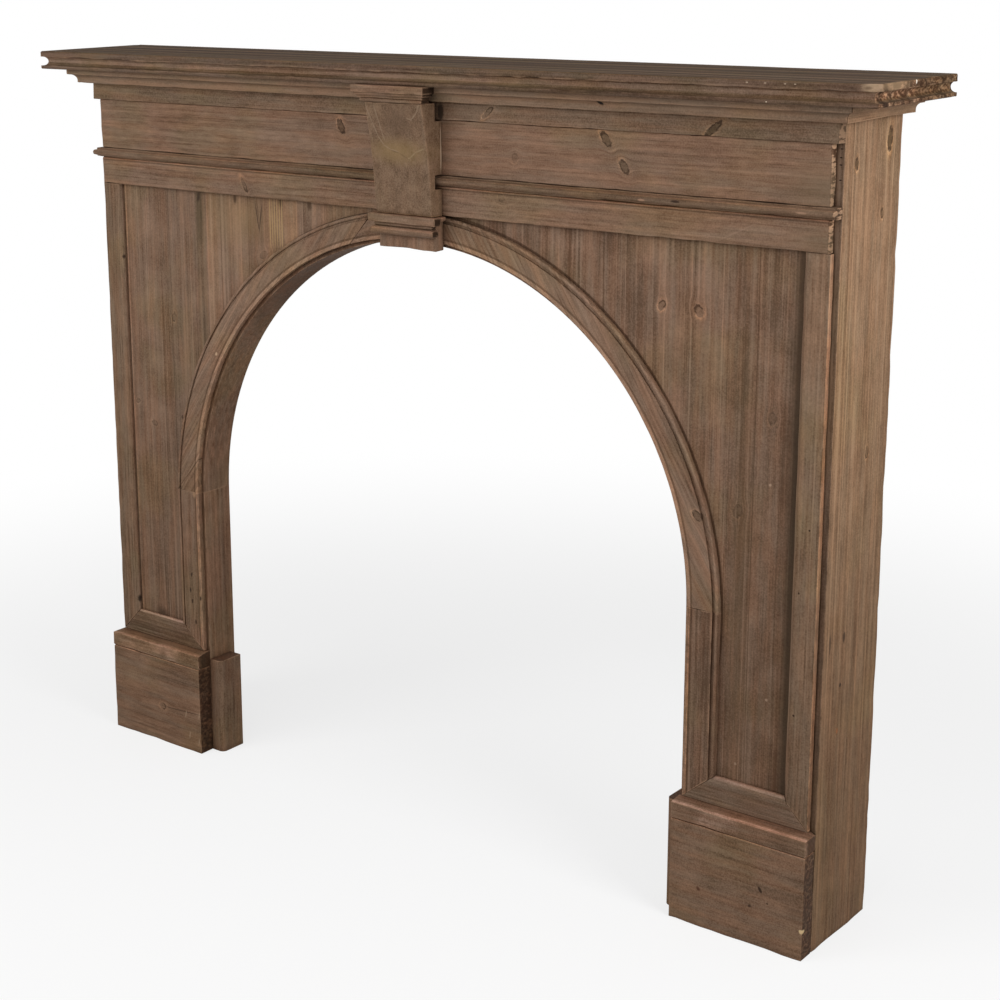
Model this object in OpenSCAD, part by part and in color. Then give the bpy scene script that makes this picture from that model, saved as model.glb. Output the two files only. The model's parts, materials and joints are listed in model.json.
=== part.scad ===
// Fireplace surround in stained reclaimed pine: a panelled front with an arched
// opening, a keystone, a stepped cornice and a mantel shelf.
// +X runs along the wall, +Y into the wall and +Z up. Inside the modules y = 0 is
// the face of the panels; seat() then moves each piece so that the origin is on
// the floor, midway between the wall and the foremost moulding.
// Pieces that come in pairs are drawn for the right hand and mirrored.

/* [Carcass] */
// Width over the two side boards
carcass_w = 1500; // [1400:1:1600]
// Height of the side boards, from the floor to the underside of the shelf
carcass_h = 1281; // [1200:1:1400]
// Depth from the face of the panels back to the wall
carcass_d = 177; // [140:1:240]
// Thickness of the side boards
side_t = 22; // [18:0.5:28]
// Thickness of the panels
panel_t = 12; // [10:0.5:16]
// Depth of the tongues on the panels and of the grooves in the side boards
tongue_d = 6; // [4:0.5:9]
// Thickness of those tongues
tongue_t = 5; // [3:0.5:6]

/* [Arched opening] */
// Width of the opening between the jamb linings
opening_w = 1034; // [960:1:1080]
// Thickness of the linings of the jambs and the arch
lining_t = 12; // [9:0.5:16]
// Depth of the linings behind the face of the panels
lining_d = 66; // [40:1:120]
// How far the lining stands in front of the band's inner edge, into the opening
lining_set = 6.5; // [3:0.5:9]
// Width of the whole moulded band where the arch comes closest to the rail
crown_w = 43.5; // [36:0.5:60]
// Height of the joint between arch and jambs above the centre of the arch
joint_rise = 5; // [0:1:20]

/* [Applied frame] */
// Thickness of the stiles, leg rails and bands planted on the panels
frame_t = 10; // [8:0.5:14]
// Width of the stiles
stile_w = 42.5; // [36:0.5:60]
// Strip of the side board's front edge that the stile leaves open
edge_strip = 9.5; // [2:0.5:14]
// Width of the bevel along the inner edge of the stiles
stile_bevel = 6; // [3:0.5:10]
// Drop of the bevels of the stiles and leg rails at their outer line
bevel_drop = 5; // [3:0.5:7]
// Width of the flat face of the band round the opening
band_w = 44.5; // [38:0.5:60]
// Width of the quirk between that face and the bead
quirk_w = 4; // [3:0.5:6]
// Depth of the quirk
quirk_d = 3; // [2:0.5:5]
// Width of the bead along the outer edge of the band
bead_w = 6; // [4:0.5:8]
// Height of the leg rails up to their bevel
leg_rail_h = 37; // [25:1:60]
// Height of the bevel above the face of the leg rails
leg_bevel_h = 9; // [5:0.5:15]
// Distance from the middle of the arch to the slanting joint left of the keystone
crown_joint_x = 110; // [85:1:160]
// Slant of that joint against the level
crown_joint_slant = 49; // [30:1:80]

/* [Entablature] */
// Height of the architrave rail under the astragal
rail_h = 48; // [36:1:70]
// Thickness of the architrave rail and the frieze board
board_t = 13; // [10:0.5:16]
// Distance of the ends of both boards from the outer faces of the side boards
board_in = 12; // [2:0.5:20]
// Chamfer along the upper front edge of the rail
rail_chamfer = 2.5; // [1:0.5:5]
// Height of the astragal
astragal_h = 17; // [13:0.5:24]
// Reach of the astragal in front of the panels
astragal_out = 26.5; // [22:0.5:30]
// Height of each of the astragal's two fillets
astragal_fillet = 3.2; // [2:0.2:4.6]
// Reach of the two fillets in front of the panels
astragal_fillet_out = 16.5; // [14:0.5:20]
// Height of the frieze board
frieze_h = 88; // [60:1:120]
// Height of the fascia board
fascia_h = 55; // [45:1:80]
// Thickness of the fascia board
fascia_t = 18; // [15:0.5:22]

/* [Bed mould] */
// Height of the bed mould under the shelf
bed_h = 25; // [20:0.5:32]
// Reach of the bed mould at the shelf
bed_out = 33; // [28:0.5:42]
// Height of its upper fillet
bed_fillet = 10; // [7:0.5:12]
// Setback of the cove under the fillet
bed_step = 2.5; // [1:0.5:5]
// Radius of the cove
bed_cove = 11; // [8:0.5:13]

/* [Shelf] */
// Thickness of the mantel shelf
shelf_t = 32; // [28:0.5:42]
// Overhang of the shelf in front of the panels
shelf_front = 70; // [62:1:110]
// Overhang of the shelf past the side boards
shelf_side = 79; // [62:1:130]
// Height of the upper lip of the shelf's edge
shelf_lip = 10; // [7:0.5:14]
// Radius of the cove worked between the lips
shelf_cove = 8; // [6:0.5:9]
// Depth at which the centre of that cove lies inside the edge
shelf_cove_in = 1.5; // [0:0.5:4]
// Radius on the corners of the lips
lip_r = 2.5; // [1:0.5:3]

/* [Keystone] */
// Width of the keystone
key_w = 116; // [90:1:150]
// Reach of the keystone's face at its top
key_top_out = 67; // [60:1:80]
// Reach of the keystone's face at its foot
key_foot_out = 41; // [36:1:55]
// Depth of the hollow in the keystone's face
key_scoop = 5; // [2:0.5:9]
// Clearance of the notches over the astragal and the fascia
key_notch_gap = 4; // [2:0.5:8]
// Gap between the top of the keystone and the bed mould
key_gap = 2; // [1:0.5:6]
// Reach of the cap's lowest member in front of the keystone's face
cap_front = 5; // [2:0.5:12]
// Overhang of the cap's lowest member at each side
cap_side = 5; // [2:0.5:10]
// Further reach of the cap's top fillet
cap_step = 10; // [8:0.5:14]
// Height of the bead that is the cap's lowest member
cap_bead_h = 7; // [5:0.5:8]
// Height of the hollowed member between bead and top fillet
cap_cove_h = 9; // [6:0.5:11]
// Reach of that member in front of the bead
cap_cove_out = 7; // [5:0.5:8]
// Radius of its hollow
cap_cove_r = 5; // [3:0.5:5]
// Gap between the back of the cap and the bed mould
cap_gap = 2; // [0.5:0.5:5]
// Height of the block behind the collar
base_h = 56; // [48:1:70]
// Reach of that block
base_out = 32; // [24:1:40]
// Height of the rounded lip at each side of that block, under the rail
base_lip_h = 9; // [5:0.5:13]
// Overhang of that lip
base_lip = 6; // [3:0.5:8]
// Height of the collar's top band
collar_band_h = 13; // [8:0.5:18]
// Height of the collar's small bead
collar_bead_h = 7; // [5:0.5:9]
// Height of the collar's torus
collar_torus_h = 13; // [9:0.5:16]
// Reach of the collar's top band
collar_out = 50; // [46:0.5:60]
// Overhang of the collar's top band at each side
collar_side = 12; // [9:0.5:18]
// Setback of the collar's small bead behind its top band
collar_bead_back = 6; // [3:0.5:8]
// Setback of the collar's torus behind its top band
collar_torus_back = 1; // [0.5:0.5:4]
// Further setback of both at the ends of the collar
collar_end_back = 4; // [0:0.5:5]
// Drop of the block under the crown of the lining
base_drop = 5; // [2:0.5:10]

/* [Plinths] */
// Height of the plinth blocks up to the joint
plinth_h = 169.5; // [140:0.5:220]
// Height of the plinth caps where the stiles stand on them
plinth_cap_h = 30.5; // [20:0.5:45]
// Reach of the plinths
plinth_out = 32; // [24:1:45]
// Fall of the weathered top of the plinth caps
weathering = 4; // [2:0.5:8]
// Chamfer at the joint between block and cap
plinth_chamfer = 1.5; // [0.5:0.5:3]
// Width of the blocks inside the jambs
inner_w = 27; // [18:1:45]
// Height of the blocks inside the jambs
inner_h = 183; // [150:1:240]
// Depth of the blocks inside the jambs
inner_d = 54; // [30:1:66]
// Radius on their front edge
inner_round = 10; // [4:1:14]

/* [Hidden framing] */
// Section of the cleats, battens and glue blocks
batten = 20; // [16:1:26]
// Length of a glue block in the corner of a leg
block_l = 80; // [50:5:120]
// Number of glue blocks in the corner of a leg
block_count = 4; // [2:1:6]
// Number of glue blocks round each half of the arch
arch_blocks = 4; // [2:1:5]
// Angle that a glue block takes round the arch
arch_block_angle = 9; // [5:1:12]
// Width of the batten behind the joint of the panels
joint_batten_w = 60; // [40:5:90]
// Height of the rail against the wall
wall_rail_h = 90; // [60:5:140]
// Thickness of the rail against the wall
wall_rail_t = 20; // [16:1:28]
// Distance between the two screw holes in that rail
wall_hole_pitch = 1200; // [600:50:1300]
// Diameter of those holes
wall_hole_d = 6; // [4:0.5:9]

/* [Hidden] */
$fn = 96;

// Colours of the stained pine, by what a piece is cut from
FRONT = "#765d4b";
WARM = "#80644d";
DARK = "#574739";
BARE = "#a98662";

// Heights of the pieces of the front, from the shelf down
fascia_z = carcass_h - fascia_h;
frieze_z = fascia_z - frieze_h;
astragal_z = frieze_z - astragal_h;
rail_z = astragal_z - rail_h;
bed_z = carcass_h - bed_h;
plinth_z = plinth_h + plinth_cap_h;

// Half widths
half_w = carcass_w / 2;
side_in = half_w - side_t;
board_half = half_w - board_in;
stile_x = half_w - edge_strip;
stile_in = stile_x - stile_w;
shelf_half = half_w + shelf_side;
key_half = key_w / 2;

// The opening: the inner curve of the lining just leaves room for the band under the rail
lining_r = opening_w / 2;
lining_out_r = lining_r + lining_t;
band_r = lining_r + lining_set;
band_out_r = band_r + band_w + quirk_w + bead_w;
spring_z = rail_z - crown_w - band_r;
joint_z = spring_z + joint_rise;
// The outer curve of the band is struck from a lower centre and just meets the rail
band_centre_z = rail_z - band_out_r;

// Clearance between curved faces that meet
fit_gap = 0.3;

// The keystone stands on the rail and frieze and stops below the bed mould, and its
// cap fills the height from there to the shelf
key_top = bed_z - key_gap;
cap_h = carcass_h - key_top;
cap_out = key_top_out + cap_front;
cap_back = fascia_t + bed_out + cap_gap;
notch_out = max(astragal_out, fascia_t) + key_notch_gap;
collar_h = collar_band_h + collar_bead_h + collar_torus_h;
key_chord = norm([key_top_out - key_foot_out, key_top - rail_z]);
key_r = (key_chord * key_chord / 4 + key_scoop * key_scoop) / (2 * key_scoop);
key_lean = atan2(key_top_out - key_foot_out, key_top - rail_z);

// Overall depth, and the distance from the panels' face to the middle of it
front_out = cap_out + cap_step;
mid_y = (carcass_d - front_out) / 2;
// Extra length of a cutting solid past the surface that it leaves
past = 1;
far = 3 * carcass_h;

// Placing

// Moves a piece from the panels' face to its seat on the floor plan, in its colour
module seat(tint) color(tint) translate([0, -mid_y, 0]) children();

// Draws a right-hand piece on the hand that is asked for
module hand(side) mirror([side == "left" ? 1 : 0, 0, 0]) children();

// Runs a section drawn as (reach in front of the panels, height) along X
module along_x(x0, x1)
    translate([x0, 0, 0]) rotate([90, 0, 90]) linear_extrude(x1 - x0)
        mirror([1, 0]) children();

// Runs a section drawn as (x, z) along Y
module along_y(y0, y1)
    translate([0, y1, 0]) rotate([90, 0, 0]) linear_extrude(y1 - y0) children();

// Runs a section drawn as (x, reach in front of the panels) up Z
module along_z(z0, z1)
    translate([0, 0, z0]) linear_extrude(z1 - z0) mirror([0, 1]) children();

// Turns a section drawn as (radius, reach in front of the panels) about an axis along Y
module about_y(z) translate([0, 0, z]) rotate([90, 0, 0]) rotate_extrude($fn = 180) children();

// A board from one corner to the opposite one
module board(low, high) translate(low) cube(high - low);

// A round bar along Y through (0, z)
module bar_y(r, z, y0, y1)
    translate([0, y1, z]) rotate([90, 0, 0]) cylinder(r = r, h = y1 - y0, $fn = 180);

// Everything above a level
module above(z) translate([-far, -far, z]) cube(2 * far);

// The right half of everything
module right_half() translate([0, -far, -far]) cube(2 * far);

// Sections

// Waste of the shelf's moulded edge; the board lies at positive x
module shelf_edge_waste() {
    cove_z = shelf_t - shelf_lip - shelf_cove;
    translate([shelf_cove_in, cove_z]) circle(shelf_cove);
    translate([-past, cove_z - shelf_cove]) square([past + shelf_cove_in, 2 * shelf_cove]);
    for (z = [0, shelf_t])
        translate([0, z]) difference() {
            square(2 * lip_r, center = true);
            translate([lip_r, z == 0 ? lip_r : -lip_r]) circle(lip_r);
        }
}

// Bed mould: a fillet over a cove, drawn from the wall of the cornice outwards
module bed_section() {
    difference() {
        square([bed_out, bed_h]);
        translate([bed_out - bed_step, -past]) square([bed_step + past, bed_h - bed_fillet + past]);
        translate([bed_out - bed_step, bed_h - bed_fillet - bed_cove]) circle(bed_cove);
        translate([bed_out - bed_step - bed_cove, -past])
            square([bed_step + bed_cove + past, bed_h - bed_fillet - bed_cove + past]);
    }
}

// Astragal: a round nose that stands out between two fillets
module astragal_section() {
    torus_r = astragal_h / 2 - astragal_fillet;
    square([astragal_fillet_out, astragal_h]);
    translate([0, astragal_fillet]) square([astragal_out - torus_r, 2 * torus_r]);
    translate([astragal_out - torus_r, astragal_h / 2]) circle(torus_r);
}

// Band round the opening: face, quirk and bead, drawn inwards from its outer edge at x = 0
module band_section(width) {
    translate([-width, 0]) square([width - quirk_w - bead_w, frame_t]);
    translate([-width, 0]) square([width, frame_t - quirk_d]);
    translate([-bead_w / 2, frame_t - quirk_d]) circle(bead_w / 2);
}

// Front and side sections of the keystone's cap, by how far each member steps out
module cap_section(x, inside) {
    bead_r = cap_bead_h / 2;
    fillet_z = cap_bead_h + cap_cove_h;
    translate([-inside, 0]) square([x + inside - bead_r, cap_h]);
    translate([x - bead_r, bead_r]) circle(bead_r);
    difference() {
        translate([-inside, cap_bead_h]) square([x + inside + cap_cove_out, cap_cove_h]);
        translate([x + cap_cove_out, cap_bead_h]) circle(cap_cove_r);
    }
    translate([-inside, fillet_z]) square([x + inside + cap_step, cap_h - fillet_z]);
}

// Section of the collar: a band over a bead and a torus, each set back from the band
module collar_section(x, inside, bead_back, torus_back) {
    torus_r = collar_torus_h / 2;
    bead_r = collar_bead_h / 2;
    torus_x = x - torus_back - torus_r;
    bead_x = x - bead_back - bead_r;
    translate([-inside, 0]) square([torus_x + inside, collar_torus_h]);
    translate([torus_x, torus_r]) circle(torus_r);
    translate([-inside, collar_torus_h]) square([bead_x + inside, collar_bead_h]);
    translate([bead_x, collar_torus_h + bead_r]) circle(bead_r);
    translate([-inside, collar_h - collar_band_h]) square([x + inside, collar_band_h]);
}

// Shelf and cornice

module mantel_shelf() {
    seat(DARK) intersection() {
        along_x(-shelf_half, shelf_half) difference() {
            translate([-carcass_d, carcass_h]) square([carcass_d + shelf_front, shelf_t]);
            translate([shelf_front, carcass_h]) mirror([1, 0]) shelf_edge_waste();
        }
        along_y(-shelf_front, carcass_d) difference() {
            translate([-shelf_half, carcass_h]) square([2 * shelf_half, shelf_t]);
            for (m = [0, 1])
                mirror([m, 0]) translate([shelf_half, carcass_h]) mirror([1, 0]) shelf_edge_waste();
        }
    }
}

// The wedge of plan that belongs to the front run of the bed mould, between its two mitres
module mitre_plan() {
    along_z(bed_z - past, carcass_h + past)
        polygon([[-half_w, fascia_t], [half_w, fascia_t],
                 [half_w + bed_out + past, fascia_t + bed_out + past],
                 [-half_w - bed_out - past, fascia_t + bed_out + past]]);
}

module bed_mould_front() {
    seat(FRONT) intersection() {
        along_x(-half_w - bed_out, half_w + bed_out)
            translate([fascia_t, bed_z]) bed_section();
        mitre_plan();
    }
}

module bed_mould_return(side) {
    seat(WARM) hand(side) difference() {
        along_y(-fascia_t - bed_out, carcass_d)
            translate([half_w, bed_z]) bed_section();
        mitre_plan();
    }
}

module cornice_fascia() {
    seat(FRONT) board([-half_w, -fascia_t, fascia_z], [half_w, 0, carcass_h]);
}

module frieze_board() {
    seat(WARM) board([-board_half, -board_t, frieze_z], [board_half, 0, fascia_z]);
}

module astragal() {
    seat(FRONT) along_x(-half_w, half_w) translate([0, astragal_z]) astragal_section();
}

module architrave_rail() {
    seat(FRONT) along_x(-board_half, board_half) translate([0, rail_z])
        polygon([[0, 0], [board_t, 0], [board_t, rail_h - rail_chamfer],
                 [board_t - rail_chamfer, rail_h], [0, rail_h]]);
}

// Carcass

module side_board(side) {
    seat(WARM) hand(side) difference() {
        board([side_in, 0, 0], [half_w, carcass_d, carcass_h]);
        board([side_in - past, (panel_t - tongue_t) / 2, -past],
              [side_in + tongue_d, (panel_t + tongue_t) / 2, carcass_h + past]);
    }
}

module panel(side) {
    seat(FRONT) hand(side) difference() {
        union() {
            board([0, 0, 0], [side_in, panel_t, carcass_h]);
            board([side_in - past, (panel_t - tongue_t) / 2, 0],
                  [side_in + tongue_d, (panel_t + tongue_t) / 2, carcass_h]);
        }
        board([-past, -past, -past], [lining_out_r, panel_t + past, joint_z]);
        bar_y(lining_out_r + fit_gap, spring_z, -past, panel_t + past);
    }
}

module jamb_lining(side) {
    seat(DARK) hand(side)
        board([lining_r, 0, 0], [lining_out_r, lining_d, joint_z]);
}

module arch_lining(side) {
    seat(DARK) hand(side) intersection() {
        difference() {
            bar_y(lining_out_r, spring_z, 0, lining_d);
            bar_y(lining_r, spring_z, -past, lining_d + past);
        }
        above(joint_z);
        right_half();
    }
}

// Applied frame

// Section of a stile in plan, with the bevel on its inner edge
module stile_section() {
    polygon([[stile_in, 0], [stile_x, 0], [stile_x, frame_t],
             [stile_in + stile_bevel, frame_t], [stile_in, frame_t - bevel_drop]]);
}

// Front view of a leg rail between its two mitres. Its mitre with the stile turns where
// the bevels of both begin, so that the bevels meet along one line.
module leg_rail_zone() {
    bevel_z = plinth_z + leg_rail_h;
    along_y(-frame_t - past, past)
        polygon([[band_r, plinth_z], [stile_x, plinth_z], [stile_in + stile_bevel, bevel_z],
                 [stile_in, bevel_z + leg_bevel_h], [band_out_r, bevel_z + leg_bevel_h]]);
}

module stile(side) {
    seat(FRONT) hand(side) difference() {
        along_z(plinth_z, rail_z) stile_section();
        leg_rail_zone();
    }
}

module leg_rail(side) {
    seat(WARM) hand(side) intersection() {
        along_x(band_r, stile_x) translate([0, plinth_z])
            polygon([[0, 0], [frame_t, 0], [frame_t, leg_rail_h],
                     [frame_t - bevel_drop, leg_rail_h + leg_bevel_h], [0, leg_rail_h + leg_bevel_h]]);
        leg_rail_zone();
    }
}

module jamb_band(side) {
    seat(WARM) hand(side) difference() {
        along_z(plinth_z, joint_z) translate([band_out_r, 0]) band_section(band_out_r - band_r);
        leg_rail_zone();
    }
}

// The whole arched band above the joints with the jambs
module arch_ring() {
    difference() {
        about_y(band_centre_z) translate([band_out_r, 0])
            band_section(band_out_r - band_r + abs(spring_z - band_centre_z) + past);
        bar_y(band_r, spring_z, -frame_t - past, past);
        translate([0, 0, joint_z]) mirror([0, 0, 1]) above(0);
    }
}

// The crown of the ring, on the right of the slanting joint left of the keystone
module crown_zone() {
    intersection() {
        translate([-crown_joint_x, 0, spring_z + band_r + (crown_w - bead_w - quirk_w) / 2])
            rotate([0, 90 - crown_joint_slant, 0]) right_half();
        above((spring_z + rail_z) / 2);
    }
}

module arch_band_left() {
    seat(FRONT) difference() {
        arch_ring();
        crown_zone();
        right_half();
    }
}

module arch_band_crown() {
    seat(FRONT) difference() {
        intersection() {
            arch_ring();
            crown_zone();
        }
        right_half();
    }
}

module arch_band_right() {
    seat(WARM) intersection() {
        arch_ring();
        right_half();
    }
}

// Keystone

module keystone_body() {
    seat(WARM) difference() {
        along_x(-key_half, key_half) difference() {
            polygon([[board_t, rail_z], [key_foot_out, rail_z],
                     [key_top_out, key_top], [board_t, key_top]]);
            // Hollow of the face, an arc between its top and its foot
            translate([(key_top_out + key_foot_out) / 2, (key_top + rail_z) / 2])
                rotate(-key_lean) translate([key_r - key_scoop, 0]) circle(key_r, $fn = 360);
        }
        board([-key_half - past, -notch_out, fascia_z - past],
              [key_half + past, 0, key_top + past]);
        board([-key_half - past, -notch_out, astragal_z - key_notch_gap],
              [key_half + past, 0, frieze_z + past]);
    }
}

module keystone_cap() {
    seat(WARM) intersection() {
        along_x(-key_half - cap_side - cap_step, key_half + cap_side + cap_step)
            translate([cap_out, key_top]) cap_section(0, cap_out - cap_back);
        along_y(-front_out, 0) translate([0, key_top])
            for (m = [0, 1])
                mirror([m, 0]) cap_section(key_half + cap_side, 0);
    }
}

// Block under the keystone, from the rail down to just below the crown of the lining
module keystone_base() {
    lip_r = base_lip_h / 2;
    lip_x = key_half + base_lip - lip_r;
    seat(FRONT) difference() {
        along_y(-base_out, -frame_t) translate([0, rail_z]) {
            translate([-key_half, -base_h]) square([2 * key_half, base_h]);
            translate([-lip_x, -base_lip_h]) square([2 * lip_x, base_lip_h]);
            for (x = [-lip_x, lip_x])
                translate([x, -lip_r]) circle(lip_r);
        }
        bar_y(lining_r - base_drop, spring_z, -base_out - past, 0);
    }
}

module keystone_collar() {
    seat(FRONT) intersection() {
        along_x(-key_half - collar_side, key_half + collar_side)
            translate([collar_out, rail_z - collar_h])
                collar_section(0, collar_out - base_out, collar_bead_back, collar_torus_back);
        along_y(-collar_out, -base_out) translate([0, rail_z - collar_h])
            for (m = [0, 1])
                mirror([m, 0])
                    collar_section(key_half + collar_side, 0, collar_bead_back + collar_end_back,
                                   collar_torus_back + collar_end_back);
    }
}

// Plinths

module plinth_block(side) {
    c = plinth_chamfer;
    seat(FRONT) hand(side) intersection() {
        along_x(lining_r, half_w)
            polygon([[0, 0], [plinth_out, 0], [plinth_out, plinth_h - c], [plinth_out - c, plinth_h],
                     [0, plinth_h]]);
        along_y(-plinth_out, 0)
            polygon([[lining_r, 0], [half_w, 0], [half_w, plinth_h - c], [half_w - c, plinth_h],
                     [lining_r + c, plinth_h], [lining_r, plinth_h - c]]);
    }
}

module plinth_cap(side) {
    c = plinth_chamfer;
    low = plinth_z - weathering;
    seat(FRONT) hand(side) intersection() {
        along_x(lining_r, half_w)
            polygon([[0, plinth_h], [plinth_out - c, plinth_h], [plinth_out, plinth_h + c],
                     [plinth_out, low], [frame_t, plinth_z], [0, plinth_z]]);
        along_y(-plinth_out, 0)
            polygon([[lining_r + c, plinth_h], [half_w - c, plinth_h], [half_w, plinth_h + c],
                     [half_w, low], [stile_x, plinth_z], [lining_r, plinth_z], [lining_r, plinth_h + c]]);
    }
}

module inner_plinth(side) {
    seat(DARK) hand(side) along_z(0, inner_h) translate([lining_r - inner_w, -inner_d]) {
        square([inner_w, inner_d - inner_round]);
        translate([inner_round, 0]) square([inner_w - inner_round, inner_d]);
        translate([inner_round, inner_d - inner_round]) circle(inner_round);
    }
}

// Hidden framing

module wall_rail() {
    seat(BARE) difference() {
        board([-side_in, carcass_d - wall_rail_t, carcass_h - wall_rail_h],
              [side_in, carcass_d, carcass_h]);
        for (s = [-1, 1])
            translate([s * wall_hole_pitch / 2, 0, 0])
                bar_y(wall_hole_d / 2, carcass_h - wall_rail_h / 2, 0, carcass_d + past);
    }
}

module shelf_cleat() {
    seat(BARE) board([-side_in, panel_t, carcass_h - batten], [side_in, panel_t + batten, carcass_h]);
}

module joint_batten() {
    foot = spring_z + lining_out_r + past;
    seat(BARE) board([-joint_batten_w / 2, panel_t, foot],
                     [joint_batten_w / 2, panel_t + batten, carcass_h - batten]);
}

module corner_blocks(side) {
    low = 2 * batten + block_l / 2;
    room = carcass_h - batten - block_l - low;
    seat(BARE) hand(side)
        for (i = [0 : block_count - 1])
            translate([0, 0, low + room * i / block_count])
                board([side_in - batten, panel_t, 0], [side_in, panel_t + batten, block_l]);
}

module arch_glue_blocks(side) {
    pitch = 90 / arch_blocks;
    seat(BARE) hand(side)
        translate([0, panel_t + batten, spring_z]) rotate([90, 0, 0])
            for (i = [0 : arch_blocks - 1])
                rotate((i + 0.5) * pitch - arch_block_angle / 2)
                    rotate_extrude(angle = arch_block_angle, $fn = 180)
                        translate([lining_out_r + fit_gap, 0]) square(batten);
}

module jamb_cleat(side) {
    seat(BARE) hand(side)
        board([lining_out_r, panel_t, 2 * batten], [lining_out_r + batten, panel_t + batten, spring_z]);
}

module foot_cleat(side) {
    seat(BARE) hand(side)
        board([lining_out_r, panel_t, 0], [side_in, panel_t + batten, 2 * batten]);
}

mantel_shelf();
bed_mould_front();
bed_mould_return("left");  // bed_mould_left
bed_mould_return("right");  // bed_mould_right
cornice_fascia();
frieze_board();
astragal();
architrave_rail();
side_board("left");  // side_board_left
side_board("right");  // side_board_right
panel("left");  // panel_left
panel("right");  // panel_right
stile("left");  // stile_left
stile("right");  // stile_right
leg_rail("left");  // leg_rail_left
leg_rail("right");  // leg_rail_right
jamb_band("left");  // jamb_band_left
jamb_band("right");  // jamb_band_right
arch_band_left();
arch_band_crown();
arch_band_right();
jamb_lining("left");  // jamb_lining_left
jamb_lining("right");  // jamb_lining_right
arch_lining("left");  // arch_lining_left
arch_lining("right");  // arch_lining_right
plinth_block("left");  // plinth_block_left
plinth_block("right");  // plinth_block_right
plinth_cap("left");  // plinth_cap_left
plinth_cap("right");  // plinth_cap_right
inner_plinth("left");  // inner_plinth_left
inner_plinth("right");  // inner_plinth_right
keystone_body();
keystone_cap();
keystone_collar();
keystone_base();
wall_rail();
shelf_cleat();
joint_batten();
corner_blocks("left");  // corner_blocks_left
corner_blocks("right");  // corner_blocks_right
arch_glue_blocks("left");  // arch_blocks_left
arch_glue_blocks("right");  // arch_blocks_right
jamb_cleat("left");  // jamb_cleat_left
jamb_cleat("right");  // jamb_cleat_right
foot_cleat("left");  // foot_cleat_left
foot_cleat("right");  // foot_cleat_right
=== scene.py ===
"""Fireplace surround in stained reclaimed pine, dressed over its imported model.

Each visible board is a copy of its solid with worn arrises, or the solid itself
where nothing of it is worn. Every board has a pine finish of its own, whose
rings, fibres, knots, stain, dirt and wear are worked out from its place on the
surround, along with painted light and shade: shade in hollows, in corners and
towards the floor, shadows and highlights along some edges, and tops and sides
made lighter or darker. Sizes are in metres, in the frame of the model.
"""

import json
import logging
import math
import random
from dataclasses import dataclass
from enum import Enum

import bmesh
import bpy
from mathutils import Matrix, Vector, noise


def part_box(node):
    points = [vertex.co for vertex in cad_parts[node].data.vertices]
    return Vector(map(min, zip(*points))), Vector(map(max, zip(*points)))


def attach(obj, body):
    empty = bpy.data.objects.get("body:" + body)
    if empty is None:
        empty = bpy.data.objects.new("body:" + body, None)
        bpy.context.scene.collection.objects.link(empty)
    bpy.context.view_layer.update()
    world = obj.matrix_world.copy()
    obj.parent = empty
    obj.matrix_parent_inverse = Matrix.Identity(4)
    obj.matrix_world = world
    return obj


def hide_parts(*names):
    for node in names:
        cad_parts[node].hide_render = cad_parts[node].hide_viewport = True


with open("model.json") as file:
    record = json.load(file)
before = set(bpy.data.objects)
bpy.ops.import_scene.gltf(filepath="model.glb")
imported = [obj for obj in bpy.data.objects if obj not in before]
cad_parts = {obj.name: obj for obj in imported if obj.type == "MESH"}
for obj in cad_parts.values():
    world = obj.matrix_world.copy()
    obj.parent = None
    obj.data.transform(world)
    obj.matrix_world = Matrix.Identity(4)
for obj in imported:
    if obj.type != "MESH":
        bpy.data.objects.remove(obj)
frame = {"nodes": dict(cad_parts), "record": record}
log = logging.getLogger("surround")

Point = tuple[float, float, float]
Colour = tuple[float, float, float, float]
# A mark's place: x, y and z, or only the two of them that lie in its board's face
Place = tuple[float, ...]

WHITE = (1.0, 1.0, 1.0, 1.0)
ACROSS = (1.0, 0.0, 0.0)
UP = (0.0, 0.0, 1.0)
DOWN = (0.0, 0.0, -1.0)
DEEPER = (0.0, 1.0, 0.0)
ROOMWARD = (0.0, -1.0, 0.0)

# Shares of red, green and blue by which one look of the wood differs from plain wood
DARK = (0.54, 0.49, 0.44)
PALE = (1.46, 1.50, 1.54)
ROSY = (1.05, 0.985, 0.94)
GREYISH = (0.955, 1.00, 1.025)
OLIVE = (0.97, 1.00, 0.90)
KNOT_HALO = (1.2, 1.16, 1.1)
KNOT_HEART = (0.60, 0.60, 0.54)
KNOT_CORE = (0.58, 0.52, 0.46)
KNOT_RIM = (0.38, 0.34, 0.30)
# Painted highlight on one side of a knot
KNOT_HIGHLIGHT = (1.42, 1.38, 1.32)
CHEWED_HOLLOW = (0.38, 0.33, 0.30)
CHEWED_RIDGE = (1.55, 1.58, 1.55)
# Painted shade: dirt together with the shade that falls in hollows, and a dark line in corners that is
# partly a dark joint and partly painted shade
DIRT_AND_SHADE = (0.46, 0.40, 0.34)
DIRT_AND_SHADE_LINE = (0.36, 0.30, 0.25)
FRAYED_GAP = (0.50, 0.44, 0.39)

# How far dirt with painted shade, the painted shade line in a corner and the wear of an arris reach
DIRT_AND_SHADE_REACH = 0.016
SHADE_LINE_REACH = 0.0045
ARRIS_REACH = 0.0028

# How much light varnish throws back, and the height of its relief
SHEEN = 0.12
RELIEF = 0.0006


def linear(code: str, share: Point = (1.0, 1.0, 1.0)) -> Colour:
    """Turn a colour written as RRGGBB into the linear colour that sockets take.

    Args:
        code: The colour.
        share: What its red, green and blue are multiplied by.

    Returns:
        The linear colour.
    """
    parts = [int(code[i : i + 2], 16) / 255 for i in (0, 2, 4)]
    made = [c / 12.92 if c <= 0.04045 else ((c + 0.055) / 1.055) ** 2.4 for c in parts]
    return (made[0] * share[0], made[1] * share[1], made[2] * share[2], 1.0)


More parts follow.
